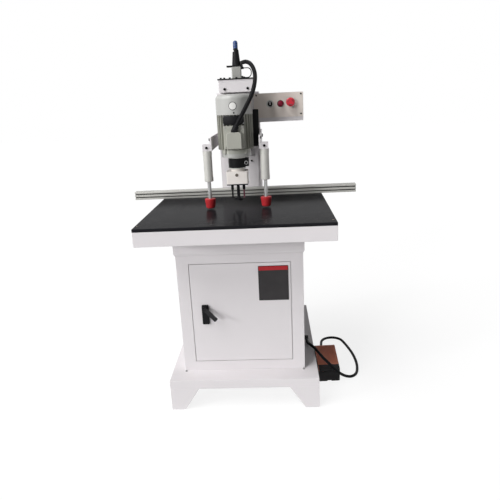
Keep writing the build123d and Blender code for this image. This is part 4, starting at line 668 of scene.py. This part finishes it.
def turn_piece(name, outline, sides=48, ring=False, smooth=40.0):
    """A piece turned round the upright axis: its outline is (radius, height) in millimetres."""
    let_go()
    radius, height = outline[0]
    bpy.ops.mesh.primitive_circle_add(vertices=sides, radius=radius * MM)
    piece = start_shape(name)
    bpy.ops.mesh.select_mode(type="EDGE")
    choose_all()
    push(0, 0, height)
    for (radius, height), (next_radius, next_height) in zip(outline, outline[1:]):
        pull_out(0, 0, next_height - height)
        grow = next_radius / radius
        bpy.ops.transform.resize(value=(grow, grow, 1), center_override=(0, 0, 0))
    if not ring:
        for end_height in (outline[0][1], outline[-1][1]):
            open_edges(piece, end_height)
            bpy.ops.mesh.edge_face_add()
    return end_shape(piece, smooth)


def fit_turned(name, outline, where, facing, slot_name, body, *nodes, **turning):
    """Turns a piece, seats it at a place in millimetres and dresses it."""
    piece = turn_piece(name, outline, **turning)
    seat(piece, spot(*where), facing)
    dress_piece(piece, slot_name, body, *nodes)


def flat_plate(name, width, height, thick, corner, rim=0.0, sink=0.0):
    """A thin plate that faces up, with round corners and, if asked, a rim round a sunk field."""
    piece = start_sized(name, bpy.ops.mesh.primitive_plane_add, width, height, 1)
    bpy.ops.mesh.bevel(offset=corner * MM, segments=6, affect="VERTICES")
    choose(piece, "FACE", lambda face: True)
    pull_out(0, 0, thick)
    if rim:
        choose_faces_up(piece)
        bpy.ops.mesh.inset(thickness=rim * MM)
        pull_out(0, 0, -sink)
    return end_shape(piece, 30.0)


def bent_sheet(name, radius, low, high, first, last, thick):
    """A sheet bent round the upright axis, from one bearing to another, seen from the front."""
    let_go()
    tall = high - low
    bpy.ops.mesh.primitive_plane_add(size=tall * MM)
    piece = start_shape(name)
    choose(piece, "VERT", lambda vert: vert.co.x < 0)
    bpy.ops.mesh.delete(type="VERT")
    choose_all()
    bpy.ops.transform.rotate(value=math.radians(90), orient_axis="X", center_override=(0, 0, 0))
    bearing = math.radians(first)
    push(radius * math.sin(bearing) - tall / 2, -radius * math.cos(bearing), (low + high) / 2)
    bpy.ops.mesh.select_mode(type="EDGE")
    choose_all()
    steps = max(LEAST_STEPS, int(abs(last - first) / BEND_STEP))
    bpy.ops.mesh.spin(
        steps=steps, angle=math.radians(first - last), center=(0, 0, 0), axis=(0, 0, 1))
    end_shape(piece)
    change_by(piece, "SOLIDIFY", thickness=thick * MM, offset=1.0)
    return piece


# Screws
HEAD_RADIUS = 5.0
HEAD_HEIGHT = 5.0
HEAD_SOCKET = 2.9
SOCKET_DEPTH = 0.6 * HEAD_HEIGHT
HEAD_EDGE = 0.7
BACK_MARGIN = 10.0


def shape_cap_screw():
    """A socket head screw that faces up, its seat at the origin."""
    let_go()
    bpy.ops.mesh.primitive_cylinder_add(
        vertices=24, radius=HEAD_RADIUS * MM, depth=HEAD_HEIGHT * MM)
    piece = start_shape("cap_screw")
    choose_all()
    push(0, 0, HEAD_HEIGHT / 2)
    choose_faces_up(piece)
    bpy.ops.mesh.delete(type="ONLY_FACE")
    bpy.ops.mesh.primitive_circle_add(
        vertices=6, radius=HEAD_SOCKET * MM, location=(0, 0, HEAD_HEIGHT * MM))
    choose(piece, "EDGE", lambda edge: len(edge.link_faces) < 2)
    bpy.ops.mesh.bridge_edge_loops()
    choose(piece, "EDGE", lambda edge: len(edge.link_faces) == 1)
    pull_out(0, 0, -SOCKET_DEPTH)
    bpy.ops.mesh.edge_face_add()
    high = 0.9 * HEAD_HEIGHT * MM
    wide = 0.9 * HEAD_RADIUS * MM
    choose(piece, "EDGE", lambda edge: all(
        vert.co.z > high and vert.co.xy.length > wide for vert in edge.verts))
    bpy.ops.mesh.bevel(offset=HEAD_EDGE * MM, segments=2)
    return end_shape(piece, 30.0)


CAP_SCREW = shape_cap_screw()


def cap_screw(where, facing, radius, height):
    """A copy of the screw at its own size, seated at a place in metres."""
    twin = copy_of(CAP_SCREW, "cap_screw_copy")
    wider = radius / HEAD_RADIUS
    twin.data.transform(Matrix.Diagonal((wider, wider, height / HEAD_HEIGHT, 1)))
    return seat(twin, where, facing)


def frame_screw_seats():
    """Where the frame's screw heads sit: place, facing, radius and height, off their solids."""
    shape = bmesh.new()
    shape.from_mesh(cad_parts["frame_screws"].data)
    bmesh.ops.remove_doubles(shape, verts=shape.verts, dist=WELD_REACH * MM)
    waiting = set(shape.verts)
    seats = []
    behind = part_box("cabinet_shell")[1].y - BACK_MARGIN * MM
    while waiting:
        island = [waiting.pop()]
        for vert in island:
            near = {edge.other_vert(vert) for edge in vert.link_edges} & waiting
            waiting -= near
            island.extend(near)
        low = Vector([min(vert.co[axis] for vert in island) for axis in range(3)])
        high = Vector([max(vert.co[axis] for vert in island) for axis in range(3)])
        size = high - low
        where = (low + high) / 2
        axis = min(range(3), key=lambda side: size[side])
        if axis == 2:
            facing = "up"
        elif axis == 1:
            facing = "back" if where.y > behind else "front"
        else:
            facing = "right" if where.x > 0 else "left"
        where[axis] = low[axis] if facing in ("up", "back", "right") else high[axis]
        seats.append((where, facing, max(size) / MM / 2, size[axis] / MM))
    shape.free()
    return sorted(seats, key=lambda item: tuple(round(value, 4) for value in item[0]))


def fit_frame_screws():
    """Socket heads in place of the frame's plain ones."""
    heads = [cap_screw(*one) for one in frame_screw_seats()]
    dress_piece(join_all("frame_screw_heads", heads), "black_metal", "frame", "frame_screws")


fit_frame_screws()


PANEL_FACE = front_of("control_panel")
LID_FACE = 292
GEAR_FACE = front_of("gear_housing")
BOARD_TOP = top_of("table_board")
PLINTH_TOP = top_of("plinth_tray")
PANEL_SCREWS = [(x, PANEL_FACE, z) for x in (93, 299) for z in (1262, 1351)]
LID_SCREWS = [(x, LID_FACE, z) for x in (-37.5, 37.5) for z in (1144, 1224)]
GEAR_SCREWS = [(-1, GEAR_FACE, 1018)]
BOARD_SCREWS = [(x, y, BOARD_TOP) for x in (-387, 387) for y in (44, 640)]
PLINTH_SCREWS = [(x, 170, PLINTH_TOP) for x in (-270, 270)]
# Piece, finish, body, places, facing, radius and height of each small set
SMALL_SCREWS = [
    ("panel_screw_heads", "black_metal", "frame", PANEL_SCREWS, "front", 3.6, 2.2),
    ("terminal_box_screws", "steel", "head", LID_SCREWS, "front", 2.8, 2.0),
    ("gear_head_screw", "motor_steel", "head", GEAR_SCREWS, "front", 7.0, 2.4),
    ("table_board_screws", "motor_steel", "frame", BOARD_SCREWS, "up", 4.2, 1.2),
    ("plinth_screws", "steel", "frame", PLINTH_SCREWS, "up", 5.0, 3.0),
]


def fit_small_screws():
    """Screws of the panel, terminal box, gear head, table and plinth."""
    for name, finish, body, places, facing, radius, height in SMALL_SCREWS:
        heads = [cap_screw(spot(*where), facing, radius, height) for where in places]
        dress_piece(join_all(name, heads), finish, body)


fit_small_screws()


# Motor trim
HEAD_AXIS = (0, 380)
FAN_COVER_RADIUS = 79.0
NAME_PLATE_RADIUS = 78.6
NAME_PLATE_ENDS = (1235, 1273)
NAME_PLATE_BEARINGS = (-36.0, 33.0)
NAME_PLATE_THICK = 0.8
NAME_PLATE_EDGE = 0.3
RIVET_OUTLINE = [(2.2, -0.4), (2.2, 0.3), (1.7, 0.9), (0.8, 1.2)]
RIVET_RADIUS = 79.4
RIVET_PLACES = [(bearing, height) for bearing in (-33.5, 30.5) for height in (1239, 1269)]
ROUND_PLATE_RADIUS = 18.0
ROUND_PLATE_STEP = 3.0
ROUND_PLATE_STEPS = 5
ROUND_PLATE_START = 6.0
ROUND_PLATE_LIFT = 0.2
ROUND_PLATE_THICK = 0.6
ROUND_PLATE_X = -1
ROUND_PLATE_HEIGHT = 1312
ROUND_PLATE_LINE = (14.8, 17.4)
LINE_BLUR = 0.3


def ring_finish(name, ground, mark, centre, inner, outer):
    """A plain ground with one round line on it, centred on a place in metres."""
    finish = make_finish(name, ground, (0.30, 0.44), drift=(0.03, 30.0),
                         grain=600.0, bump=(0.05, 0.0001), ior=1.4)
    tree = finish.node_tree
    shader = tree.nodes["Principled BSDF"]
    under = shader.inputs["Base Color"].links[0].from_socket
    where = tree.nodes.new("ShaderNodeTexCoord")
    shift = tree.nodes.new("ShaderNodeVectorMath")
    shift.operation = "SUBTRACT"
    shift.inputs[1].default_value = centre
    tree.links.new(where.outputs["Object"], shift.inputs[0])
    reach = tree.nodes.new("ShaderNodeVectorMath")
    reach.operation = "LENGTH"
    tree.links.new(shift.outputs["Vector"], reach.inputs[0])
    off = reckon(tree, "SUBTRACT", reach.outputs["Value"], (inner + outer) / 2 * MM)
    half_line = (outer - inner) / 2 * MM
    line = place(tree, "ShaderNodeMapRange", Value=reckon(tree, "ABSOLUTE", off),
                 From_Min=half_line, From_Max=half_line + LINE_BLUR * MM,
                 To_Min=1.0, To_Max=0.0)
    shown = mix_over(tree, under, mark, line.outputs["Result"])
    tree.links.new(shown, shader.inputs["Base Color"])
    return finish


def seat_round(piece, radius, bearing, height):
    """Sets a piece that was shaped facing up on the motor's round side."""
    seat(piece, (0, -radius * MM, 0), "front")
    piece.data.transform(Matrix.Rotation(math.radians(bearing), 4, "Z"))
    piece.data.transform(Matrix.Translation(spot(*HEAD_AXIS, height)))
    return piece


def fit_motor_plates():
    """The bare name plate over the fins, and its four rivets."""
    plate = bent_sheet("motor_name_plate", NAME_PLATE_RADIUS, *NAME_PLATE_ENDS,
                       *NAME_PLATE_BEARINGS, NAME_PLATE_THICK)
    change_by(plate, "BEVEL", width=NAME_PLATE_EDGE * MM, segments=2, limit_method="ANGLE")
    seat(plate, spot(*HEAD_AXIS, 0))
    dress_piece(plate, "black_plastic", "head")
    rivet = turn_piece("rivet", RIVET_OUTLINE, 16)
    rivets = [copy_of(rivet, "rivet_copy") for _ in RIVET_PLACES]
    bpy.data.objects.remove(rivet)
    for twin, (bearing, height) in zip(rivets, RIVET_PLACES):
        seat_round(twin, RIVET_RADIUS, bearing, height)
    dress_piece(join_all("name_plate_rivets", rivets), "steel", "head")


def fit_round_plate():
    """The round plate that is laid on the fan cover's curve, with a plain line near its edge."""
    let_go()
    bpy.ops.mesh.primitive_circle_add(
        vertices=48, radius=ROUND_PLATE_RADIUS * MM, fill_type="NGON")
    piece = start_shape("fan_cover_plate")
    choose_all()
    for _ in range(ROUND_PLATE_STEPS):
        bpy.ops.mesh.inset(thickness=ROUND_PLATE_STEP * MM)
    end_shape(piece)
    cover_front = HEAD_AXIS[1] - FAN_COVER_RADIUS
    start = spot(ROUND_PLATE_X, cover_front - ROUND_PLATE_START, ROUND_PLATE_HEIGHT)
    seat(piece, start, "front")
    change_by(piece, "SHRINKWRAP", target=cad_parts["fan_cover"], wrap_method="PROJECT",
              use_project_y=True, use_positive_direction=True, use_negative_direction=True,
              offset=ROUND_PLATE_LIFT * MM)
    change_by(piece, "SOLIDIFY", thickness=ROUND_PLATE_THICK * MM, offset=1.0)
    smooth_below(40.0)
    centre = spot(ROUND_PLATE_X, cover_front, ROUND_PLATE_HEIGHT)
    finish = ring_finish("round_plate_print", linear(226, 225, 222), linear(52, 52, 56),
                         centre, *ROUND_PLATE_LINE)
    dress_piece(piece, "cover_grey", "head", finish=finish)


fit_motor_plates()
fit_round_plate()


# Head trim
COLLAR_RINGS = [("collar_upper_ring", 1089.5, 1095.9), ("collar_lower_ring", 1044.1, 1048.0)]
RING_BORE = 36.0
RING_FACE = 38.6
RING_RADIUS = 39.2
RING_EDGE = 0.7
WASHER_OUTLINE = [(3.0, 0.0), (8.4, 0.0), (8.4, 1.2), (7.8, 1.8), (3.0, 1.8), (3.0, 0.0)]
WASHER_PLACE = (42, 364, 1068)
BOLT_PLACE = (42, 362.2, 1068)
BOLT_RADIUS = 5.6
BOLT_HEIGHT = 5.0
COVER_SCREW_RADIUS = 3.2
COVER_SCREW_HEIGHT = 1.8
COVER_SCREW_LEVEL = 1284
COVER_SCREW_BEARINGS = (2.0, 122.0, 242.0)


def fit_head_trim():
    """Rings, washer and bolt of the clamp collar, and the fan cover's screws."""
    for name, low, high in COLLAR_RINGS:
        outline = [
            (RING_BORE, low), (RING_FACE, low), (RING_RADIUS, low + RING_EDGE),
            (RING_RADIUS, high - RING_EDGE), (RING_FACE, high), (RING_BORE, high), (RING_BORE, low),
        ]
        fit_turned(name, outline, (*HEAD_AXIS, 0), "up", "aluminium", "head", sides=64, ring=True)
    fit_turned("collar_bolt_washer", WASHER_OUTLINE, WASHER_PLACE, "front", "steel", "head",
               sides=32, ring=True)
    bolt = [cap_screw(spot(*BOLT_PLACE), "front", BOLT_RADIUS, BOLT_HEIGHT)]
    dress_piece(join_all("collar_bolt", bolt), "black_metal", "head")
    cover = [
        seat_round(cap_screw((0, 0, 0), "up", COVER_SCREW_RADIUS, COVER_SCREW_HEIGHT),
                   FAN_COVER_RADIUS, bearing, COVER_SCREW_LEVEL)
        for bearing in COVER_SCREW_BEARINGS
    ]
    dress_piece(join_all("fan_cover_screws", cover), "black_metal", "head")


fit_head_trim()


# Depth stop knob
KNOB_AXIS = (12, 492)
GRIP_SIDES = 36
GRIP_OUTLINE = [
    (7.0, 1552.0), (9.4, 1552.0), (10.3, 1553.2), (10.3, 1574.0), (9.9, 1578.0), (8.2, 1582.0),
    (5.4, 1584.4), (2.0, 1585.3),
]
FLUTE_EDGE = 0.25
FLUTE_DEPTH = 0.7
FLUTE_LEAST_HEIGHT = 16.0
KNOB_FOOT_OUTLINE = [
    (6.0, 1546.4), (11.0, 1546.4), (11.4, 1547.0), (10.6, 1551.4), (9.8, 1552.4), (6.0, 1552.6),
]
KNOB_STEM_OUTLINE = [(4.6, 1492.0), (5.0, 1492.5), (5.0, 1548.0), (4.6, 1548.5)]


def choose_flutes(grip):
    """Chooses every second one of the grip's tall side faces."""
    step = 360.0 / GRIP_SIDES

    def is_flute(face):
        middle = face.calc_center_median()
        bearing = math.degrees(math.atan2(middle.y, middle.x)) + 180.0
        longest = max(edge.calc_length() for edge in face.edges)
        tall = abs(face.normal.z) < UPRIGHT and longest > FLUTE_LEAST_HEIGHT * MM
        return tall and round((bearing - step / 2) / step) % 2 == 0

    choose(grip, "FACE", is_flute)


def fit_depth_knob():
    """The fluted knob of the depth stop, its foot and its bright stem."""
    grip = turn_piece("depth_knob_grip", GRIP_OUTLINE, GRIP_SIDES, smooth=50.0)
    bpy.context.view_layer.objects.active = grip
    bpy.ops.object.mode_set(mode="EDIT")
    choose_flutes(grip)
    bpy.ops.mesh.inset(thickness=FLUTE_EDGE * MM, depth=-FLUTE_DEPTH * MM, use_individual=True)
    end_shape(grip, 35.0)
    axis = (*KNOB_AXIS, 0)
    seat(grip, spot(*axis))
    dress_piece(grip, "blue_plastic", "stop_screw", "depth_knob")
    fit_turned("depth_knob_foot", KNOB_FOOT_OUTLINE, axis, "up", "black_plastic", "stop_screw",
               "depth_knob", sides=40)
    fit_turned("depth_knob_stem", KNOB_STEM_OUTLINE, axis, "up", "steel", "stop_screw",
               "depth_knob", sides=32)


fit_depth_knob()


# Control panel trim
SELECTOR_X = 156
LAMP_X = 204
STOP_X = 250
DEVICE_LEVEL = 1311
STOP_LEVEL = 1316
POINTER_SIDES = (3.0, 13.0)
POINTER_THICK = 0.8
POINTER_CORNER = 1.2
POINTER_RISE = 3
BEZEL_OUTLINE = [
    (11.5, 0.0), (17.0, 0.0), (17.0, 2.8), (16.4, 3.4), (15.8, 3.2), (11.5, 0.5), (11.5, 0.0),
]
BEZEL_SINK = 0.2
LAMP_RING_OUTLINE = [
    (12.6, 0.0), (15.4, 0.0), (15.4, 1.8), (14.8, 2.6), (13.6, 2.8), (12.6, 2.2), (12.6, 0.0),
]
LENS_OUTLINE = [(13.6, 2.0), (13.8, 8.0), (13.2, 11.0), (10.4, 14.0), (6.4, 15.4), (3.0, 15.8)]
LENS_FACETS = 14
MARK_RADIUS = 10.6
MARK_HEIGHT = 1.0
MARK_WIDTH = 3.4
MARK_REACH = 34.0
MARK_SINK = 0.4


def fit_selector_and_lamp():
    """Pointer and bezel of the selector, and the lamp's ring and faceted lens."""
    pointer = flat_plate("selector_pointer", *POINTER_SIDES, POINTER_THICK, POINTER_CORNER)
    knob_face = front_of("selector_knob")
    seat(pointer, spot(SELECTOR_X, knob_face, DEVICE_LEVEL + POINTER_RISE), "front")
    dress_piece(pointer, "white_paint", "selector")
    bezel_place = (SELECTOR_X, front_of("switch_bodies") + BEZEL_SINK, DEVICE_LEVEL)
    fit_turned("selector_bezel", BEZEL_OUTLINE, bezel_place, "front", "aluminium", "frame",
               ring=True)
    lamp_place = (LAMP_X, PANEL_FACE, DEVICE_LEVEL)
    fit_turned("lamp_ring", LAMP_RING_OUTLINE, lamp_place, "front", "black_plastic", "frame",
               ring=True)
    fit_turned("lamp_lens_cap", LENS_OUTLINE, lamp_place, "front", "lamp_red", "frame", "lamp_lens",
               sides=LENS_FACETS, smooth=15.0)


def fit_stop_marks():
    """The three curved marks on the stop button's face."""
    mark = bent_sheet("stop_mark", MARK_RADIUS, 0.0, MARK_HEIGHT,
                      -MARK_REACH, MARK_REACH, MARK_WIDTH)
    marks = [mark, copy_of(mark, "stop_mark_right"), copy_of(mark, "stop_mark_left")]
    for number, piece in enumerate(marks):
        seat(piece, (0, 0, 0), "up", number * 360.0 / len(marks))
    joined = join_all("stop_button_marks", marks)
    seat(joined, spot(STOP_X, front_of("estop_button") + MARK_SINK, STOP_LEVEL), "front")
    finish = make_finish("stop_mark_red", linear(120, 14, 24), (0.24, 0.36), drift=(0.05, 20.0))
    dress_piece(joined, "red_plastic", "estop", finish=finish)


fit_selector_and_lamp()
fit_stop_marks()


# Door plate and lip
DOOR_FACE = front_of("door")
DOOR_PLATE_X = 145.5
DOOR_PLATE_LEVEL = 565.5
DOOR_PLATE_SIDES = (131.0, 160.0)
DOOR_PLATE_THICK = 1.0
DOOR_PLATE_CORNER = 3.0
DOOR_PLATE_RIM = 2.5
DOOR_PLATE_SINK = 0.35
BAND_LEVEL = 634.5
BAND_SIDES = (128.0, 19.0)
BAND_THICK = 0.5
BAND_CORNER = 1.5
BAND_LIFT = 0.5
LIP_LEVEL = 427
LIP_SIDES = (441.2, 466.2)
LIP_THICK = 1.2
LIP_DEPTH = 4.0
LIP_SETBACK = 4.6


def fit_door_plate():
    """The bare dark plate on the door, with a thin rim and a plain band along its top."""
    plate = flat_plate("door_plate", *DOOR_PLATE_SIDES, DOOR_PLATE_THICK, DOOR_PLATE_CORNER,
                       rim=DOOR_PLATE_RIM, sink=DOOR_PLATE_SINK)
    seat(plate, spot(DOOR_PLATE_X, DOOR_FACE, DOOR_PLATE_LEVEL), "front")
    finish = make_finish("door_plate_grey", linear(54, 52, 53), (0.40, 0.56), drift=(0.12, 14.0),
                         grain=900.0, stretch=(0.1, 1, 1), bump=(0.08, 0.0001), dust=0.04, ior=1.25)
    dress_piece(plate, "black_plastic", "door_leaf", finish=finish)
    band = flat_plate("door_plate_band", *BAND_SIDES, BAND_THICK, BAND_CORNER)
    seat(band, spot(DOOR_PLATE_X, DOOR_FACE - BAND_LIFT, BAND_LEVEL), "front")
    dress_piece(band, "red_rubber", "door_leaf")


def fit_door_lip():
    """The thin folded lip round the door's edge, which closes most of the gap to the stiles."""
    piece = start_sized("door_edge_lip", bpy.ops.mesh.primitive_plane_add, *LIP_SIDES, 1)
    choose(piece, "FACE", lambda face: True)
    bpy.ops.mesh.inset(thickness=LIP_THICK * MM)
    lip_area = LIP_THICK * max(LIP_SIDES) * MM * MM
    choose(piece, "FACE", lambda face: face.calc_area() > lip_area)
    bpy.ops.mesh.delete(type="FACE")
    choose(piece, "FACE", lambda face: True)
    pull_out(0, 0, LIP_DEPTH)
    end_shape(piece, 30.0)
    seat(piece, spot(0, DOOR_FACE + LIP_SETBACK, LIP_LEVEL), "front")
    dress_piece(piece, "white_paint", "door_leaf")


fit_door_plate()
fit_door_lip()


# Fence bar
FENCE_ENDS = (-546, 570)
FENCE_LENGTH = FENCE_ENDS[1] - FENCE_ENDS[0]
FENCE_MIDDLE = sum(FENCE_ENDS) / 2
FENCE_SIDE = 40.0
FENCE_FACE = front_of("fence_rail")
FENCE_EDGE = 1.2
LOW_SLOT = 12.0
HIGH_SLOT = 28.0
SLOT_MOUTH = 6.0
SLOT_ROOM = 12.0
SLOT_DEPTH = 10.0
SLOT_EDGE = 0.4
# How deep each cut of a slot starts and ends, and how long the cutters are
MOUTH_CUT = (-2.0, 6.0)
ROOM_CUT = (3.0, SLOT_DEPTH)
CUT_LENGTH = 1300
# Sizes of the dark strips that paint shade on the floors of the front slots
SHADE_STRIP_THICK = 0.8
SHADE_STRIP_PLAY = 0.4
SHADE_STRIP_SHORT = 1.0
SHADE_STRIP_LIFT = 0.05
SHADE_STRIP_EDGE = 0.25


def cut_slot(piece, name, y, z, depth_axis, into):
    """Cuts a T slot along the bar: a narrow mouth and a wider room behind it."""
    for wide, (near, far) in ((SLOT_MOUTH, MOUTH_CUT), (SLOT_ROOM, ROOM_CUT)):
        deep = far - near
        middle = (near + far) / 2 * into
        across = (deep, wide) if depth_axis == "y" else (wide, deep)
        cutter = start_sized(name, bpy.ops.mesh.primitive_cube_add, CUT_LENGTH, *across)
        end_shape(cutter)
        shift = (0, y + middle, z) if depth_axis == "y" else (0, y, z + middle)
        seat(cutter, spot(*shift))
        change_by(piece, "BOOLEAN", operation="DIFFERENCE", object=cutter, solver="EXACT")
        bpy.data.objects.remove(cutter)


def fit_fence_bar():
    """The slotted fence bar across the back of the table."""
    piece = start_sized("fence_bar", bpy.ops.mesh.primitive_cube_add,
                        FENCE_LENGTH, FENCE_SIDE, FENCE_SIDE)
    choose_long_edges(piece)
    bpy.ops.mesh.bevel(offset=FENCE_EDGE * MM, segments=2)
    end_shape(piece, 30.0)
    half = FENCE_SIDE / 2
    seat(piece, spot(FENCE_MIDDLE, FENCE_FACE + half, BOARD_TOP + half))
    cut_slot(piece, "front_low_slot", FENCE_FACE, BOARD_TOP + LOW_SLOT, "y", 1)
    cut_slot(piece, "front_high_slot", FENCE_FACE, BOARD_TOP + HIGH_SLOT, "y", 1)
    cut_slot(piece, "rear_slot", FENCE_FACE + FENCE_SIDE, BOARD_TOP + half, "y", -1)
    cut_slot(piece, "top_slot", FENCE_FACE + half, BOARD_TOP + FENCE_SIDE, "z", -1)
    change_by(piece, "BEVEL", width=SLOT_EDGE * MM, segments=1, limit_method="ANGLE")
    smooth_below(30.0)
    finish = make_finish("fence_anodised", linear(180, 179, 174), (0.28, 0.46), metal=0.2,
                         drift=(0.05, 8.0), grain=700.0, stretch=(0.03, 1, 1), bump=(0.06, 0.0001),
                         dust=0.04)
    dress_piece(piece, "aluminium", "frame", "fence_rail", finish=finish)


def fit_slot_shade_strips():
    """Dark grey strips on the floors of the bar's two front slots, which stay open for stop nuts:
    painted shade in the slots.
    """
    low = start_sized("low_slot_painted_shade", bpy.ops.mesh.primitive_cube_add,
                      FENCE_LENGTH - SHADE_STRIP_SHORT, SHADE_STRIP_THICK, SLOT_ROOM - SHADE_STRIP_PLAY)
    choose_long_edges(low)
    bpy.ops.mesh.bevel(offset=SHADE_STRIP_EDGE * MM, segments=2)
    end_shape(low, 30.0)
    high = copy_of(low, "high_slot_painted_shade")
    depth = FENCE_FACE + SLOT_DEPTH - SHADE_STRIP_THICK / 2 - SHADE_STRIP_LIFT
    for shade_strip, level in ((low, LOW_SLOT), (high, HIGH_SLOT)):
        seat(shade_strip, spot(FENCE_MIDDLE, depth, BOARD_TOP + level))
    # The strips' dark grey is painted shade in the slots
    finish = make_finish("slot_painted_shade_grey", linear(92, 92, 89), (0.50, 0.66), drift=(0.10, 12.0),
                         grain=700.0, stretch=(0.05, 1, 1), bump=(0.08, 0.0001), dust=0.04, ior=1.2)
    shade_strips = join_all("fence_slot_painted_shade", [low, high])
    dress_piece(shade_strips, "black_plastic", "frame", finish=finish)


fit_fence_bar()
fit_slot_shade_strips()


# Treadle nosing
PEDAL_PLACE = (402, 300, 0)
PEDAL_TURN = 3.0
NOSING_WIDTH = 101.0
NOSING_THICK = 1.8
NOSING_FOOT = 53.5
NOSING_RISE = 9.6
NOSING_BEND = (3.1, 3.2)
NOSING_SLOPE = 18.0
NOSING_DEPTH = 24.0
NOSING_EDGE = 0.5


def fit_treadle_nosing():
    """The dark nosing bent over the treadle's front edge."""
    let_go()
    bpy.ops.mesh.primitive_plane_add(size=NOSING_WIDTH * MM)
    piece = start_shape("treadle_nosing")
    choose(piece, "VERT", lambda vert: vert.co.y < 0)
    bpy.ops.mesh.delete(type="VERT")
    choose_all()
    push(0, NOSING_THICK - NOSING_WIDTH / 2, NOSING_FOOT)
    bpy.ops.mesh.select_mode(type="EDGE")
    choose_all()
    slope = math.radians(NOSING_SLOPE)
    pull_out(0, 0, NOSING_RISE)
    pull_out(0, *NOSING_BEND)
    pull_out(0, NOSING_DEPTH * math.cos(slope), NOSING_DEPTH * math.sin(slope))
    end_shape(piece)
    change_by(piece, "SOLIDIFY", thickness=NOSING_THICK * MM, offset=1.0)
    change_by(piece, "BEVEL", width=NOSING_EDGE * MM, segments=2, limit_method="ANGLE")
    smooth_below(40.0)
    seat(piece, spot(*PEDAL_PLACE), roll=PEDAL_TURN)
    dress_piece(piece, "black_plastic", "pedal_plate", finish=FINISHES["pedal_case"])


fit_treadle_nosing()


# Floor, light and backdrop
FLOOR_SIZE = 40.0
SKY_LEVEL = 0.04
SHADOW_SHARE = 0.30
FLOOR_TONE = (0.66, 0.66, 0.66, 1.0)
FLOOR_GLOW = 1.21
LAMP_DISTANCE = 4.0
# Name, where the light comes from, its spread in degrees and its strength
LAMPS = [
    ("left_light", (-0.87, -0.43, 0.25), 10.0, 1.0),
    ("front_light", (-0.55, -0.80, 0.24), 14.0, 1.2),
    ("high_light", (-0.50, -0.32, 0.81), 40.0, 2.5),
]


def seen_directly(tree):
    """One where the ray comes from the eye, a mirror or glass, and nought elsewhere."""
    path = tree.nodes.new("ShaderNodeLightPath")
    first = reckon(tree, "MAXIMUM", path.outputs["Is Camera Ray"], path.outputs["Is Glossy Ray"])
    return reckon(tree, "MAXIMUM", first, path.outputs["Is Transmission Ray"])


def set_sky():
    """A dim sky that looks white to the eye and in mirrors."""
    world = bpy.data.worlds.new("studio")
    bpy.context.scene.world = world
    world.use_nodes = True
    tree = world.node_tree
    tree.nodes.clear()
    dim = place(tree, "ShaderNodeBackground", Color=(1, 1, 1, 1), Strength=SKY_LEVEL)
    white = place(tree, "ShaderNodeBackground", Color=(1, 1, 1, 1), Strength=1.0)
    mix = tree.nodes.new("ShaderNodeMixShader")
    out = tree.nodes.new("ShaderNodeOutputWorld")
    tree.links.new(seen_directly(tree), mix.inputs[0])
    tree.links.new(dim.outputs[0], mix.inputs[1])
    tree.links.new(white.outputs[0], mix.inputs[2])
    tree.links.new(mix.outputs[0], out.inputs["Surface"])


def set_floor():
    """The pale floor, which keeps a share of the shadow."""
    let_go()
    bpy.ops.mesh.primitive_plane_add(size=FLOOR_SIZE, location=(0, 0, 0))
    floor = bpy.context.object
    floor.name = "floor"
    pale = bpy.data.materials.new("pale_floor")
    pale.use_nodes = True
    tree = pale.node_tree
    tree.nodes.clear()
    matt = place(tree, "ShaderNodeBsdfDiffuse", Color=FLOOR_TONE)
    glow = place(tree, "ShaderNodeEmission", Color=(1, 1, 1, 1), Strength=FLOOR_GLOW)
    share = reckon(tree, "MULTIPLY", seen_directly(tree), 1.0 - SHADOW_SHARE)
    mix = tree.nodes.new("ShaderNodeMixShader")
    out = tree.nodes.new("ShaderNodeOutputMaterial")
    tree.links.new(share, mix.inputs[0])
    tree.links.new(matt.outputs[0], mix.inputs[1])
    tree.links.new(glow.outputs[0], mix.inputs[2])
    tree.links.new(mix.outputs[0], out.inputs["Surface"])
    floor.data.materials.append(pale)


def set_lamp(name, comes_from, spread, strength):
    """A soft far lamp whose light is even over the floor."""
    lamp = bpy.data.lights.new(name, "SUN")
    lamp.angle = math.radians(spread)
    lamp.energy = strength
    holder = bpy.data.objects.new(name, lamp)
    holder.location = Vector(comes_from) * LAMP_DISTANCE
    holder.rotation_euler = (-Vector(comes_from)).to_track_quat("-Z", "Y").to_euler()
    bpy.context.scene.collection.objects.link(holder)


bpy.data.objects.remove(CAP_SCREW)
set_sky()
set_floor()
for lamp in LAMPS:
    set_lamp(*lamp)

bpy.context.scene.view_settings.view_transform = "Standard"
